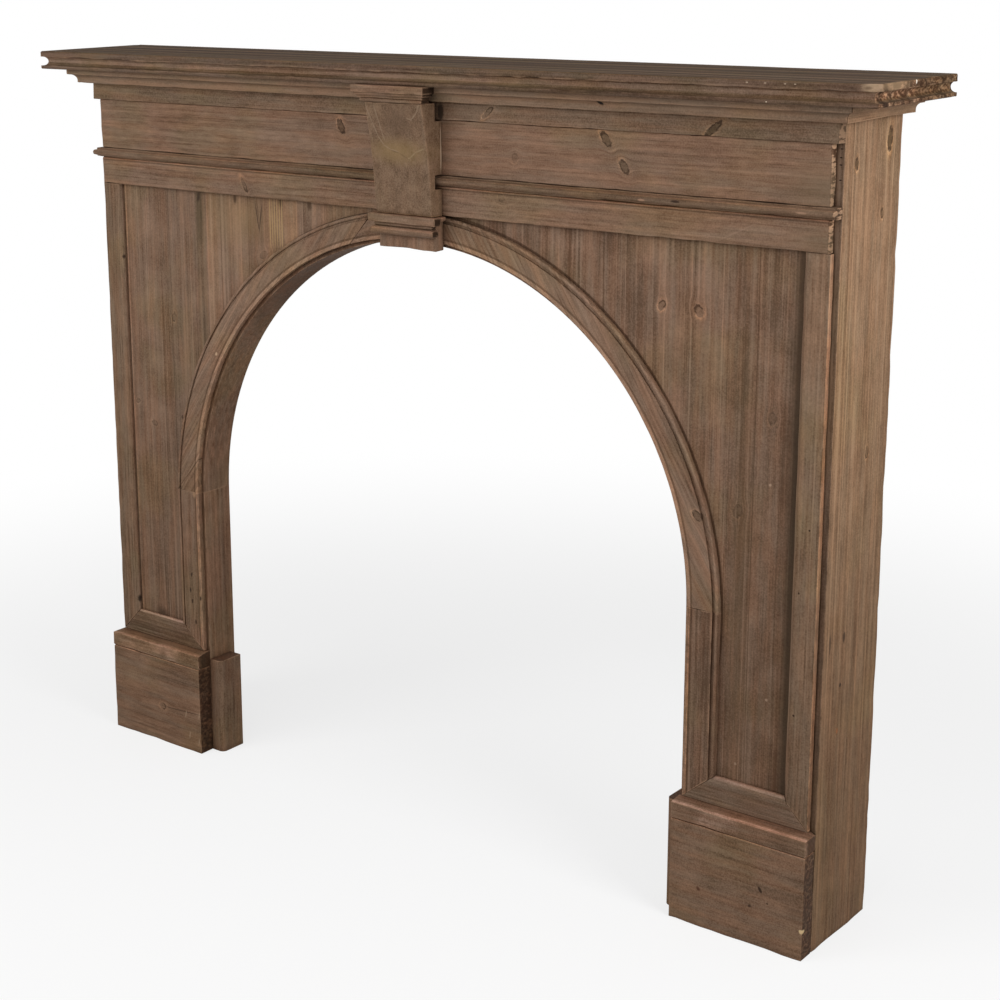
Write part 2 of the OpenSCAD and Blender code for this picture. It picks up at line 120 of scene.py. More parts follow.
class Signal:
    """A number that shader nodes put out, combined by Python's operators."""

    def __init__(self, graph: "Graph", socket: bpy.types.NodeSocket) -> None:
        """Keep the graph and the socket that the number comes from."""
        self.graph = graph
        self.socket = socket

    def __add__(self, other: "Signal | float") -> "Signal":
        """Add."""
        return self.graph.math("ADD", self, other)

    __radd__ = __add__

    def __sub__(self, other: "Signal | float") -> "Signal":
        """Subtract."""
        return self.graph.math("SUBTRACT", self, other)

    def __rsub__(self, other: "Signal | float") -> "Signal":
        """Subtract this from another value."""
        return self.graph.math("SUBTRACT", other, self)

    def __mul__(self, other: "Signal | float") -> "Signal":
        """Multiply."""
        return self.graph.math("MULTIPLY", self, other)

    __rmul__ = __mul__

    def fraction(self) -> "Signal":
        """Keep what lies past the last whole number."""
        return self.graph.math("FRACT", self)

    def size(self) -> "Signal":
        """Drop the sign."""
        return self.graph.math("ABSOLUTE", self)

    def either(self, other: "Signal | float") -> "Signal":
        """Take the larger of two values."""
        return self.graph.math("MAXIMUM", self, other)

    def ease(self, low: float, high: float) -> "Signal":
        """Rise smoothly from 0 to 1, or fall where low is the larger.

        Args:
            low: The value that gives 0.
            high: The value that gives 1.

        Returns:
            The eased value.
        """
        settings = {"interpolation_type": "SMOOTHSTEP"}
        values = {"Value": self, "From Min": low, "From Max": high}
        return Signal(self.graph, self.graph.add("ShaderNodeMapRange", settings, values).outputs[0])


class Graph:
    """The nodes of one material or of the world."""

    def __init__(self, owner: bpy.types.Material | bpy.types.World) -> None:
        """Empty the owner's node tree.

        Args:
            owner: The material or the world.
        """
        owner.use_nodes = True
        self.owner = owner
        self.tree = owner.node_tree
        self.tree.nodes.clear()

    def add(self, kind: str, settings: dict | None = None, values: dict | None = None) -> bpy.types.Node:
        """Add a node.

        Args:
            kind: The node's type.
            settings: Its own properties, set first; "stops" fills a colour ramp.
            values: Values or links for its input sockets, by name or number.

        Returns:
            The node.
        """
        node = self.tree.nodes.new(kind)
        for name, value in (settings or {}).items():
            if name == "stops":
                self._fill_ramp(node, value)
            else:
                setattr(node, name, value)
        for key, value in (values or {}).items():
            if isinstance(value, Signal):
                self.tree.links.new(value.socket, node.inputs[key])
            elif isinstance(value, bpy.types.NodeSocket):
                self.tree.links.new(value, node.inputs[key])
            else:
                node.inputs[key].default_value = value
        return node

    @staticmethod
    def _fill_ramp(node: bpy.types.Node, stops: list[tuple[float, tuple]]) -> None:
        """Give a colour ramp its stops, from low to high.

        Args:
            node: The ramp.
            stops: The place and the colour of each stop.
        """
        elements = node.color_ramp.elements
        while len(elements) < len(stops):
            elements.new(1.0)
        for element, (place, colour) in zip(elements, stops):
            element.position = place
            element.color = colour

    def math(self, operation: str, *values: "Signal | float") -> Signal:
        """Put one or more numbers through a Math node."""
        node = self.add("ShaderNodeMath", {"operation": operation}, dict(enumerate(values)))
        return Signal(self, node.outputs[0])

    def mix(
        self, factor: "Signal | float", low: object, high: object, blend: str = "MIX"
    ) -> bpy.types.NodeSocket:
        """Mix two colours.

        Args:
            factor: How much of the second colour shows.
            low: The first colour or its socket.
            high: The second colour or its socket.
            blend: The way in which they mix.

        Returns:
            The socket of the mixed colour.
        """
        settings = {"data_type": "RGBA", "blend_type": blend}
        return self.add("ShaderNodeMix", settings, {0: factor, 6: low, 7: high}).outputs[2]

    def vector(self, x: "Signal | float", y: "Signal | float", z: "Signal | float") -> bpy.types.NodeSocket:
        """Join three numbers into a vector."""
        return self.add("ShaderNodeCombineXYZ", None, {0: x, 1: y, 2: z}).outputs[0]

    def along(self, vector: bpy.types.NodeSocket, axis: Point) -> Signal:
        """Measure a vector along an axis."""
        node = self.add("ShaderNodeVectorMath", {"operation": "DOT_PRODUCT"}, {0: vector, 1: axis})
        return Signal(self, node.outputs["Value"])

    def length(self, vector: bpy.types.NodeSocket) -> Signal:
        """Measure how long a vector is."""
        node = self.add("ShaderNodeVectorMath", {"operation": "LENGTH"}, {0: vector})
        return Signal(self, node.outputs["Value"])

    def noise(self, place: bpy.types.NodeSocket, scale: Point, seed: float, detail: float = 2.0) -> Signal:
        """Make noise from 0 to 1.

        Args:
            place: The socket of the place.
            scale: How many swings a metre, along each axis.
            seed: Shift that makes one board unlike the next.
            detail: Octaves of finer noise.

        Returns:
            The noise.
        """
        shift = (seed, seed * 1.7, seed * 2.3)
        settings = {"operation": "MULTIPLY_ADD"}
        spread = self.add("ShaderNodeVectorMath", settings, {0: place, 1: scale, 2: shift})
        values = {"Vector": spread.outputs[0], "Scale": 1.0, "Detail": detail, "Roughness": 0.55}
        return Signal(self, self.add("ShaderNodeTexNoise", None, values).outputs[0])


class Lay(Enum):
    """How a board lies: the axes along its fibres, across its face and into its depth."""

    LEVEL = ((1.0, 0.0, 0.0), (0.0, 0.0, 1.0), (0.0, 1.0, 0.0))
    UPRIGHT = ((0.0, 0.0, 1.0), (1.0, 0.0, 0.0), (0.0, 1.0, 0.0))
    SIDE = ((0.0, 0.0, 1.0), (0.0, 1.0, 0.0), (1.0, 0.0, 0.0))
    FLAT = ((1.0, 0.0, 0.0), (0.0, 1.0, 0.0), (0.0, 0.0, 1.0))
    RETURN = ((0.0, 1.0, 0.0), (0.0, 0.0, 1.0), (1.0, 0.0, 0.0))
    FALLING = ((0.5299, 0.0, -0.8480), (0.8480, 0.0, 0.5299), (0.0, 1.0, 0.0))
    RISING = ((0.5878, 0.0, 0.8090), (-0.8090, 0.0, 0.5878), (0.0, 1.0, 0.0))
    SHALLOW = ((0.9397, 0.0, 0.3420), (-0.3420, 0.0, 0.9397), (0.0, 1.0, 0.0))


class Figure(Enum):
    """Noise drawn out along the fibres: its swings a metre along and across them, shift and octaves."""

    FINE = (11.0, 560.0, 1.3, 3.0)
    MIDDLE = (3.0, 170.0, 5.9, 2.0)
    THREAD = (0.8, 210.0, 14.4, 1.0)
    BAND = (1.1, 30.0, 11.2, 2.0)
    DASH = (48.0, 190.0, 19.6, 2.0)
    HUE = (9.0, 60.0, 17.7, 2.0)
    RING_DRIFT = (0.9, 2.5, 3.1, 1.0)
    RING_FRAY = (4.0, 45.0, 8.7, 1.0)


class Cloud(Enum):
    """Noise that doesn't follow the fibres: its swings a metre on each axis, shift and octaves."""

    WOBBLE = ((240.0, 240.0, 240.0), 0.0, 2.0)
    RINGS_SHOWN = ((9.0, 9.0, 9.0), 2.2, 1.0)
    KNOT_RIM = ((130.0, 130.0, 130.0), 7.0, 1.0)
    OLIVE = ((7.0, 7.0, 7.0), 27.0, 2.0)
    SPECK = ((420.0, 420.0, 420.0), 31.0, 2.0)
    RUBBED = ((40.0, 40.0, 40.0), 40.0, 4.0)
    TORN = ((110.0, 60.0, 210.0), 44.0, 3.0)
    CHEWED = ((190.0, 120.0, 190.0), 48.0, 3.0)
    STRIPE_LEFT = ((75.0, 75.0, 75.0), 52.0, 3.0)


# The noise of the blotches, whose swings are the batch's own
BLOTCH_SHIFT = 23.0
BLOTCH_OCTAVES = 3.0


@dataclass(frozen=True)
class Knot:
    """A knot in a board's face; a hooked one shows its dark rim on one side alone."""

    at: Place
    radius: float = 0.006
    stretch: float = 1.6
    turn: float = 35.0
    dark: float = 0.8
    hooked: bool = False


@dataclass(frozen=True)
class Fleck:
    """A chip, nail hole, filled spot or soft patch of stain on a board, and on some boards a painted shadow
    along a gap or an edge.
    """

    at: Place
    radius: float = 0.003
    colour: str = "33241A"
    stretch: float = 1.0
    turn: float = 0.0
    soft: float = 0.35
    strength: float = 1.0
    deep: float = 2.5

    @classmethod
    def line(
        cls, start: Place, end: Place, radius: float, colour: str, strength: float = 0.8, deep: float = 2.5
    ) -> "Fleck":
        """Draw a fleck out between two places in the face of an upright board.

        Args:
            start: One end.
            end: The other end.
            radius: Half of its width.
            colour: Its colour.
            strength: How much of it shows.
            deep: Its reach into the board, in radii.

        Returns:
            The fleck.
        """
        run = Vector(end) - Vector(start)
        turn = math.degrees(math.atan2(run.x, run.y))
        at = tuple((Vector(start) + Vector(end)) / 2)
        return cls(at, radius, colour, run.length / 2 / radius + 0.4, turn, 0.35, strength, deep)


@dataclass(frozen=True)
class Seam:
    """A glued joint between two staves of a board, at a place across its fibres."""

    across: float
    tone: float = 0.0


@dataclass(frozen=True)
class Stripe:
    """A strip whose colour differs: between two places on an axis, or two radii in the front's plane; tone
    and joints on some boards, painted highlights and shades along mouldings and edges on others.
    """

    low: float
    high: float
    share: Point
    axis: Point = (0.0, 0.0, 1.0)
    centre: Point | None = None
    soft: float = 0.0004
    broken: float = 0.0


@dataclass(frozen=True)
class Facing:
    """The share by which a board's colour differs on the faces turned one way: the wood's own tone on some
    boards, painted light and shade on others.
    """

    toward: Point
    share: Point


@dataclass(frozen=True)
class Pine:
    """A batch of stained pine: its colours, and how strongly each feature shows."""

    body: str = "7A604E"
    worn: str = "AA886C"
    # Share on upward faces: paler weathered tops together with painted light, and below 1 painted shade on
    # tops
    upward_wear_and_light: Point = (1.32, 1.25, 1.24)
    # Painted shade: the colour grows darker towards the floor, as lamp light falls off
    foot: Point = (0.84, 0.82, 0.80)
    ring: float = 0.0068
    rings: float = 0.20
    fibres: float = 0.80
    streaks: float = 0.85
    threads: float = 0.20
    cracks: float = 0.16
    dashes: float = 0.65
    bands: float = 0.75
    blotches: float = 0.65
    mottle: float = 17.0
    hues: float = 1.0
    specks: float = 1.00
    end: Point = (0.62, 0.58, 0.55)
    wear: float = 0.60
    # How strongly dirt with painted shade darkens hollows, and how dark the painted shade line in corners is
    grime_and_shade: float = 0.70
    lines: float = 0.30
    roughness: float = 0.72


@dataclass(frozen=True)
class Board:
    """One board: its pine, how it lies, where its pith and its face are, and what is peculiar to it."""

    pine: Pine
    lay: Lay
    seed: float
    pith: tuple[float, float]
    face: float = 0.0
    knots: tuple[Knot, ...] = ()
    flecks: tuple[Fleck, ...] = ()
    seams: tuple[Seam, ...] = ()
    facings: tuple[Facing, ...] = ()
    stripes: tuple[Stripe, ...] = ()
    lift: float = 0.0
    wear: float = 1.0
    frayed: float = 0.0
    chewed: float = 0.0


class Finish:
    """Builds the material of one board."""

    def __init__(self, name: str, board: Board, low: Vector, high: Vector) -> None:
        """Start the material.

        Args:
            name: The material's name.
            board: The board that it dresses.
            low: The board's lowest corner.
            high: Its highest corner.
        """
        self.graph = Graph(bpy.data.materials.new(name))
        self.board, self.low, self.high = board, low, high
        self.fibre, self.cross, self.depth = board.lay.value
        spot = self.graph.add("ShaderNodeTexCoord")
        self.place = spot.outputs["Object"]
        self.normal = spot.outputs["Normal"]
        self.u = self.graph.along(self.place, self.fibre)
        self.v = self.graph.along(self.place, self.cross)
        self.w = self.graph.along(self.place, self.depth)

    def _spot(self, at: Place) -> Vector:
        """Complete a mark's place by its board's face where it is given in the face.

        Args:
            at: The place, in three parts or in the two that lie in the face.

        Returns:
            The place in three parts.
        """
        if len(at) == 3:
            return Vector(at)
        if self.board.lay is Lay.SIDE:
            return Vector((self.board.face, at[0], at[1]))
        return Vector((at[0], self.board.face, at[1]))

    def _away(self, at: Place, turn: float, long: float, wide: float, deep: float) -> tuple[Signal, Signal]:
        """Measure how far a place lies from a mark, in the mark's own radii.

        Args:
            at: The mark's place.
            turn: Degrees by which the mark is turned from the fibres.
            long: Its radius along its own length.
            wide: Its radius across that.
            deep: Its radius into the board.

        Returns:
            The distance, and the part of it along the mark's length.
        """
        spot = self._spot(at)
        du = self.u - spot.dot(Vector(self.fibre))
        dv = self.v - spot.dot(Vector(self.cross))
        dw = self.w - spot.dot(Vector(self.depth))
        c, s = math.cos(math.radians(turn)), math.sin(math.radians(turn))
        run = (du * c + dv * s) * (1 / long)
        rise = (dv * c - du * s) * (1 / wide)
        return self.graph.length(self.graph.vector(run, rise, dw * (1 / deep))), run

    def _rings(self, cross: Signal) -> Signal:
        """Give the share of latewood in the growth rings, which shows in some places only.

        Args:
            cross: How far a place lies across the fibres, where knots push them aside.

        Returns:
            The share.
        """
        g, board = self.graph, self.board
        middle = (self.low + self.high) / 2
        slow = self._streaks(cross, Figure.RING_DRIFT)
        v = cross - (middle.dot(Vector(self.cross)) + board.pith[0]) + (slow - 0.5) * 0.07
        w = self.w - (middle.dot(Vector(self.depth)) + board.pith[1]) + (slow - 0.5) * 0.03
        span = g.length(g.vector(v, w, 0.0))
        fray = self._streaks(cross, Figure.RING_FRAY)
        saw = (span * (1 / board.pine.ring) + (fray - 0.5) * 2.2).fraction()
        shown = self._cloud(Cloud.RINGS_SHOWN).ease(0.30, 0.62)
        return saw.ease(0.35, 0.85) * saw.ease(1.0, 0.90) * shown

    def _streaks(self, cross: Signal, figure: Figure) -> Signal:
        """Make noise drawn out along the fibres.

        Args:
            cross: How far a place lies across the fibres, where knots push them aside.
            figure: Which noise to make.

        Returns:
            The noise.
        """
        along, across, shift, octaves = figure.value
        place = self.graph.vector(self.u, cross, self.w)
        return self.graph.noise(place, (along, across, across), self.board.seed + shift, octaves)

    def _cloud(self, cloud: Cloud) -> Signal:
        """Make noise that doesn't follow the fibres."""
        swings, shift, octaves = cloud.value
        return self.graph.noise(self.place, swings, self.board.seed + shift, octaves)

    def _tint(
        self, colour: bpy.types.NodeSocket, factor: Signal | float, share: Point
    ) -> bpy.types.NodeSocket:
        """Multiply a colour by a share of each of its parts, as far as a factor says."""
        return self.graph.mix(factor, colour, (*share, 1.0), "MULTIPLY")

    def build(self) -> bpy.types.Material:
        """Join the fields into a colour, a roughness and a relief.

        Returns:
            The material.
        """
        g, board, pine = self.graph, self.board, self.board.pine
        wobble = (self._cloud(Cloud.WOBBLE) - 0.5) * 0.9
        cross = self.v
        fields = []
        for knot in board.knots:
            long = knot.radius * knot.stretch
            span, run = self._away(knot.at, knot.turn, long, knot.radius, knot.radius * 4)
            centre = self._spot(knot.at).dot(Vector(self.cross))
            cross = cross - (self.v - centre) * span.ease(3.2, 0.5) * 0.6
            fields.append((span + wobble, run + wobble))
        late = self._rings(cross)
        fine = self._streaks(cross, Figure.FINE)
        middle = self._streaks(cross, Figure.MIDDLE)
        thread = self._streaks(cross, Figure.THREAD)
        band = self._streaks(cross, Figure.BAND)
        dash = self._streaks(cross, Figure.DASH)
        hue = self._streaks(cross, Figure.HUE)
        olive = self._cloud(Cloud.OLIVE)
        blotch = g.noise(self.place, (pine.mottle,) * 3, board.seed + BLOTCH_SHIFT, BLOTCH_OCTAVES)
        speck = self._cloud(Cloud.SPECK)
        end = g.along(self.normal, self.fibre).size().ease(0.55, 0.85)
        side = 1.0 - end
        tone = (
            (fine - 0.5) * pine.fibres * side
            + (middle - 0.5) * pine.streaks * side
            + thread.ease(0.58, 0.72) * pine.threads * side
            - thread.ease(0.38, 0.28) * pine.cracks * side
            + (band - 0.5) * pine.bands
            + (dash - 0.5) * pine.dashes
            + (blotch - 0.5) * pine.blotches
            + (speck - 0.5) * pine.specks
            - (late - 0.3) * pine.rings
            + (0.5 + board.lift)
        )
        for seam in board.seams:
            if seam.tone:
                tone = tone + (self.v - seam.across).ease(-0.0004, 0.0004) * seam.tone
        stops = [(0.0, linear(pine.body, DARK)), (0.5, linear(pine.body)), (1.0, linear(pine.body, PALE))]
        colour = g.add("ShaderNodeValToRGB", {"stops": stops}, {0: tone}).outputs[0]
        rosy = g.mix(hue.ease(0.34, 0.66), (*GREYISH, 1.0), (*ROSY, 1.0))
        colour = g.mix(pine.hues, colour, rosy, "MULTIPLY")
        colour = self._tint(colour, olive.ease(0.45, 0.68) * pine.hues, OLIVE)
        colour = self._dress_knots(colour, fields)
        for seam in board.seams:
            line = (self.v - seam.across).size().ease(0.0012, 0.0003)
            colour = self._tint(colour, line * side * 0.9, DARK)
        colour = self._dirt_shade_and_wear(colour, end, fine)
        for stripe in board.stripes:
            colour = self._tint(colour, self._inside(stripe), stripe.share)
        for fleck in board.flecks:
            away, _ = self._away(
                fleck.at, fleck.turn, fleck.radius * fleck.stretch, fleck.radius, fleck.radius * fleck.deep
            )
            mask = (away + wobble * 0.6).ease(1.0 + fleck.soft, 1.0 - fleck.soft) * fleck.strength
            colour = g.mix(mask, colour, linear(fleck.colour))
        relief = fine * 0.5 - late * 0.3 + speck * 0.4 + middle * 0.3
        for span, _ in fields:
            relief = relief - span.ease(1.3, 1.0) * span.ease(0.5, 0.9) * 0.7
        bump = g.add("ShaderNodeBump", None, {"Strength": 0.4, "Distance": RELIEF, "Height": relief})
        rough = pine.roughness + (fine - 0.5) * 0.2 + (blotch - 0.5) * 0.2
        values = {"Base Color": colour, "Roughness": rough, "Normal": bump.outputs[0]}
        values["Specular IOR Level"] = SHEEN
        shader = g.add("ShaderNodeBsdfPrincipled", None, values)
        g.add("ShaderNodeOutputMaterial", None, {0: shader.outputs[0]})
        return g.owner

    def _inside(self, stripe: Stripe) -> Signal:
        """Give 1 inside a stripe and 0 outside it.

        Args:
            stripe: The stripe.

        Returns:
            The value.
        """
        g = self.graph
        if stripe.centre is None:
            at = g.along(self.place, stripe.axis)
        else:
            values = {0: self.place, 1: (1, 0, 1), 2: [-part for part in stripe.centre]}
            flat = g.add("ShaderNodeVectorMath", {"operation": "MULTIPLY_ADD"}, values)
            at = g.length(flat.outputs[0])
        inside = at.ease(stripe.low - stripe.soft, stripe.low + stripe.soft)
        inside = inside * at.ease(stripe.high + stripe.soft, stripe.high - stripe.soft)
        if stripe.broken:
            left = self._cloud(Cloud.STRIPE_LEFT).ease(0.40, 0.54)
            inside = inside * (left * stripe.broken + (1.0 - stripe.broken))
        return inside

    def _dress_knots(
        self, colour: bpy.types.NodeSocket, fields: list[tuple[Signal, Signal]]
    ) -> bpy.types.NodeSocket:
        """Paint the hearts, broken rims and pale surrounds of the knots over a colour, and a painted
        highlight on one side of each.

        Args:
            colour: The colour before.
            fields: How far a place lies from each knot, and the part of it along the knot's length.

        Returns:
            The colour after.
        """
        broken = self._cloud(Cloud.KNOT_RIM).ease(0.36, 0.56)
        for knot, (span, run) in zip(self.board.knots, fields):
            halo = span.ease(2.1, 1.5) * span.ease(1.05, 1.4) * knot.dark * 0.6
            colour = self._tint(colour, halo, KNOT_HALO)
            heart = 0.25 if knot.hooked else 0.55
            colour = self._tint(colour, span.ease(1.2, 0.6) * knot.dark * heart, KNOT_HEART)
            if knot.dark > 1.0 and not knot.hooked:
                colour = self._tint(colour, span.ease(1.0, 0.3) * (knot.dark - 1.0), KNOT_CORE)
            rim = span.ease(1.2, 0.98) * span.ease(0.62, 0.85) * knot.dark
            part = run.ease(-0.35, 0.25) if knot.hooked else 0.2 + broken * 0.8
            colour = self._tint(colour, rim * part, KNOT_RIM)
            # Painted highlight on one side of each knot
            knot_highlight = span.ease(1.55, 1.3) * span.ease(1.1, 1.25) * run.ease(0.1, -0.6) * knot.dark
            colour = self._tint(colour, knot_highlight, KNOT_HIGHLIGHT)
        return colour

    def _hidden(self, reach: float) -> Signal:
        """Give 1 where a place is open and less where other surfaces stand within reach of it."""
        node = self.graph.add("ShaderNodeAmbientOcclusion", {"samples": 5}, {"Distance": reach})
        return Signal(self.graph, node.outputs["AO"])

    def _dirt_shade_and_wear(
        self, colour: bpy.types.NodeSocket, end: Signal, fine: Signal
    ) -> bpy.types.NodeSocket:
        """Darken end grain, paint shade together with dirt into hollows and corners, paint light and shade
        on faces by the way they turn and shade towards the floor, and rub the arrises pale.

        Args:
            colour: The colour before.
            end: 1 where a face shows end grain.
            fine: The finest noise of the fibres.

        Returns:
            The colour after.
        """
        g, board, pine = self.graph, self.board, self.board.pine
        colour = self._tint(colour, end, pine.end)
        # Upward faces: weathering together with painted light and shade on tops
        colour = self._tint(colour, g.along(self.normal, UP).ease(0.22, 0.48), pine.upward_wear_and_light)
        # Faces turned one way: the wood's own tone on some boards, painted light and shade on others
        for facing in board.facings:
            turned = g.along(self.normal, facing.toward).ease(0.6, 0.85)
            colour = self._tint(colour, turned, facing.share)
        # Painted shade, darker towards the floor
        colour = self._tint(colour, g.along(self.place, UP).ease(1.05, 0.10), pine.foot)
        if board.chewed:
            chew = self._cloud(Cloud.CHEWED)
            colour = self._tint(colour, chew.ease(0.56, 0.45) * end * board.chewed, CHEWED_HOLLOW)
            colour = self._tint(colour, chew.ease(0.57, 0.68) * end * board.chewed, CHEWED_RIDGE)
        # Painted shade together with dirt in hollows and near other parts, and a painted shade line in tight
        # corners
        dirt_and_shade = self._hidden(DIRT_AND_SHADE_REACH).ease(0.86, 0.34) * pine.grime_and_shade
        colour = self._tint(colour, dirt_and_shade, DIRT_AND_SHADE)
        colour = self._tint(colour, self._hidden(SHADE_LINE_REACH).ease(0.80, 0.40) * pine.lines, DIRT_AND_SHADE_LINE)
        settings = {"samples": 5, "inside": True, "only_local": True}
        edge = g.add("ShaderNodeAmbientOcclusion", settings, {"Distance": ARRIS_REACH})
        rubbed = self._cloud(Cloud.RUBBED).ease(0.38, 0.60)
        worn = Signal(g, edge.outputs["AO"]).ease(0.92, 0.58) * rubbed * (1.0 - dirt_and_shade)
        worn = worn * (0.5 + fine) * (pine.wear * board.wear)
        if board.frayed:
            last = self.high.dot(Vector(self.fibre))
            torn = self._cloud(Cloud.TORN)
            ragged = self.u + (torn - 0.5) * 0.0045
            near = ragged.ease(last - 0.0036, last - 0.0022)
            colour = self._tint(colour, near * torn.ease(0.60, 0.46) * board.frayed, FRAYED_GAP)
            tips = ragged.ease(last - 0.0016, last - 0.0010)
            worn = worn.either(tips * torn.ease(0.44, 0.54) * board.frayed)
        return g.mix(worn, colour, linear(pine.worn))


# Distances at which points merge, and degrees under which faces are one and over which an edge shows
COPY_MERGE = 2e-5
CUT_MERGE = 1e-5
FLAT_ANGLE = 0.6
SHARP_ANGLE = 40.0

# Without a seed other than 0, Blender's vector noise takes its offsets from the clock
NOISE_SEED = 7


@dataclass(frozen=True)
class Wear:
    """How a solid has worn: its rounded arrises, the steps of its cuts, its drift and its bites."""

    arris: float = 0.0014
    segments: int = 2
    pitch: float = 0.022
    drift: float = 0.00035
    bite: float = 0.0009
    sharp: float = 32.0
    swing: float = 9.0
    bite_swing: float = 31.0


class WornCopy:
    """A copy of a solid, worn at its arrises."""

    def __init__(self, node: str, wear: Wear, seed: float) -> None:
        """Copy the node's mesh and merge its loose triangles into faces.

        Args:
            node: The node.
            wear: How it has worn.
            seed: What sets its noise apart from another board's.
        """
        self.node, self.wear, self.seed = node, wear, seed
        self.low, self.high = (Vector(corner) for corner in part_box(node))
        self.mesh = bmesh.new()
        self.mesh.from_mesh(frame["nodes"][node].data)
        bmesh.ops.remove_doubles(self.mesh, verts=self.mesh.verts, dist=COPY_MERGE)
        bmesh.ops.dissolve_limit(
            self.mesh, angle_limit=math.radians(FLAT_ANGLE), verts=self.mesh.verts, edges=self.mesh.edges
        )
        self.arris = self.mesh.faces.layers.int.new("arris")

    def round_arrises(self) -> None:
        """Bevel every convex edge that is sharper than the wear's angle."""
        sharp = math.radians(self.wear.sharp)
        edges = [e for e in self.mesh.edges if e.is_manifold and e.calc_face_angle_signed(0.0) > sharp]
        made = bmesh.ops.bevel(
            self.mesh,
            geom=edges,
            offset=self.wear.arris,
            offset_type="OFFSET",
            affect="EDGES",
            segments=self.wear.segments,
            profile=0.5,
            clamp_overlap=True,
            material=-1,
        )
        for face in made["faces"]:
            face[self.arris] = 1

    def shear_off(self, spot: Vector, out: Vector, above: float) -> None:
        """Push what lies past a plane back onto it, above a height.

        Args:
            spot: A place on the plane.
            out: The way that the plane faces.
            above: The height.
        """
        geometry = self.mesh.verts[:] + self.mesh.edges[:] + self.mesh.faces[:]
        bmesh.ops.bisect_plane(self.mesh, geom=geometry, dist=CUT_MERGE, plane_co=spot, plane_no=out)
        for vert in self.mesh.verts:
            past = (vert.co - spot).dot(out)
            if past > 0.0 and vert.co.z > above:
                vert.co -= out * past

    def slice(self, axis: int, low: float, high: float, pitch: float) -> None:
        """Cut the faces across an axis, at uneven steps between two places.

        Args:
            axis: The axis, 0 to 2.
            low: The first place.
            high: The last place.
            pitch: The usual step.
        """
        chance = random.Random(f"{self.node}{axis}{low:.3f}")
        place = low + pitch * 0.6
        normal = Vector([1.0 if i == axis else 0.0 for i in range(3)])
        while place < high - pitch * 0.4:
            geometry = self.mesh.verts[:] + self.mesh.edges[:] + self.mesh.faces[:]
            bmesh.ops.bisect_plane(
                self.mesh, geom=geometry, dist=CUT_MERGE, plane_co=normal * place, plane_no=normal
            )
            place += pitch * chance.uniform(0.75, 1.25)

    def slice_all(self) -> None:
        """Cut the faces across every axis along which the board is long."""
        for axis in range(3):
            if self.high[axis] - self.low[axis] > 1.6 * self.wear.pitch:
                self.slice(axis, self.low[axis], self.high[axis], self.wear.pitch)

    def rub(self) -> None:
        """Let the faces drift, and rub the arrises down here and there, inside the solid's box."""
        self.mesh.normal_update()
        shift = Vector((self.seed * 3.7, self.seed * 5.1, self.seed * 1.9))
        moves = {}
        for vert in self.mesh.verts:
            move = noise.noise_vector(vert.co * self.wear.swing + shift) * self.wear.drift
            if any(face[self.arris] for face in vert.link_faces):
                rub = noise.noise(vert.co * self.wear.bite_swing + shift) + 0.15
                move -= vert.normal * max(0.0, rub) * self.wear.bite * 2.0
            moves[vert] = move
        for vert, move in moves.items():
            spot = vert.co + move
            vert.co = [min(max(spot[i], self.low[i]), self.high[i]) for i in range(3)]

    def finish(self, name: str) -> bpy.types.Object:
        """Make the object, smooth except at its sharp edges, in place of its node.

        Args:
            name: The piece's name.

        Returns:
            The object.
        """
        data = bpy.data.meshes.new(name)
        bmesh.ops.recalc_face_normals(self.mesh, faces=self.mesh.faces)
        self.mesh.to_mesh(data)
        self.mesh.free()
        data.shade_smooth()
        data.set_sharp_from_angle(angle=math.radians(SHARP_ANGLE))
        piece = bpy.data.objects.new(name, data)
        bpy.context.scene.collection.objects.link(piece)
        even = piece.modifiers.new("even_shading", "WEIGHTED_NORMAL")
        even.keep_sharp = True
        return piece


@dataclass
class Joinery:
    """A sub-assembly: the wear that its boards share, and whether they are worn copies."""

    wear: Wear = Wear()
    worn: bool = True

    def boards(self) -> dict[str, Board]:
        """Lay out the boards, by node; each sub-assembly has its own."""
        raise NotImplementedError

    @staticmethod
    def slot_of(node: str) -> str:
        """Name the record's material slot of a node."""
        rows = frame["record"]["subparts"]
        return next(row["material_slot"] for row in rows if row["node"] == node)

    def shape(self, node: str, copy: WornCopy) -> None:
        """Wear a copy down; sub-assemblies with more to shape extend this.

        Args:
            node: The node that it is a copy of.
            copy: The copy.
        """
        copy.round_arrises()
        copy.slice_all()
        copy.rub()

    def build(self) -> list[bpy.types.Object]:
        """Make and dress every board.

        Returns:
            The pieces.
        """
        pieces = []
        for node, board in self.boards().items():
            low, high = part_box(node)
            material = Finish(f"pine_{node}", board, low, high).build()
            if self.worn:
                copy = WornCopy(node, self.wear, board.seed)
                self.shape(node, copy)
                piece = copy.finish(f"{node}_worn")
                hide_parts(node)
                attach(piece, "root")
            else:
                piece = frame["nodes"][node]
            piece.data.materials.clear()
            piece.data.materials.append(material)
            pieces.append(piece)
            log.info("%s: %d faces", piece.name, len(piece.data.polygons))
        return pieces


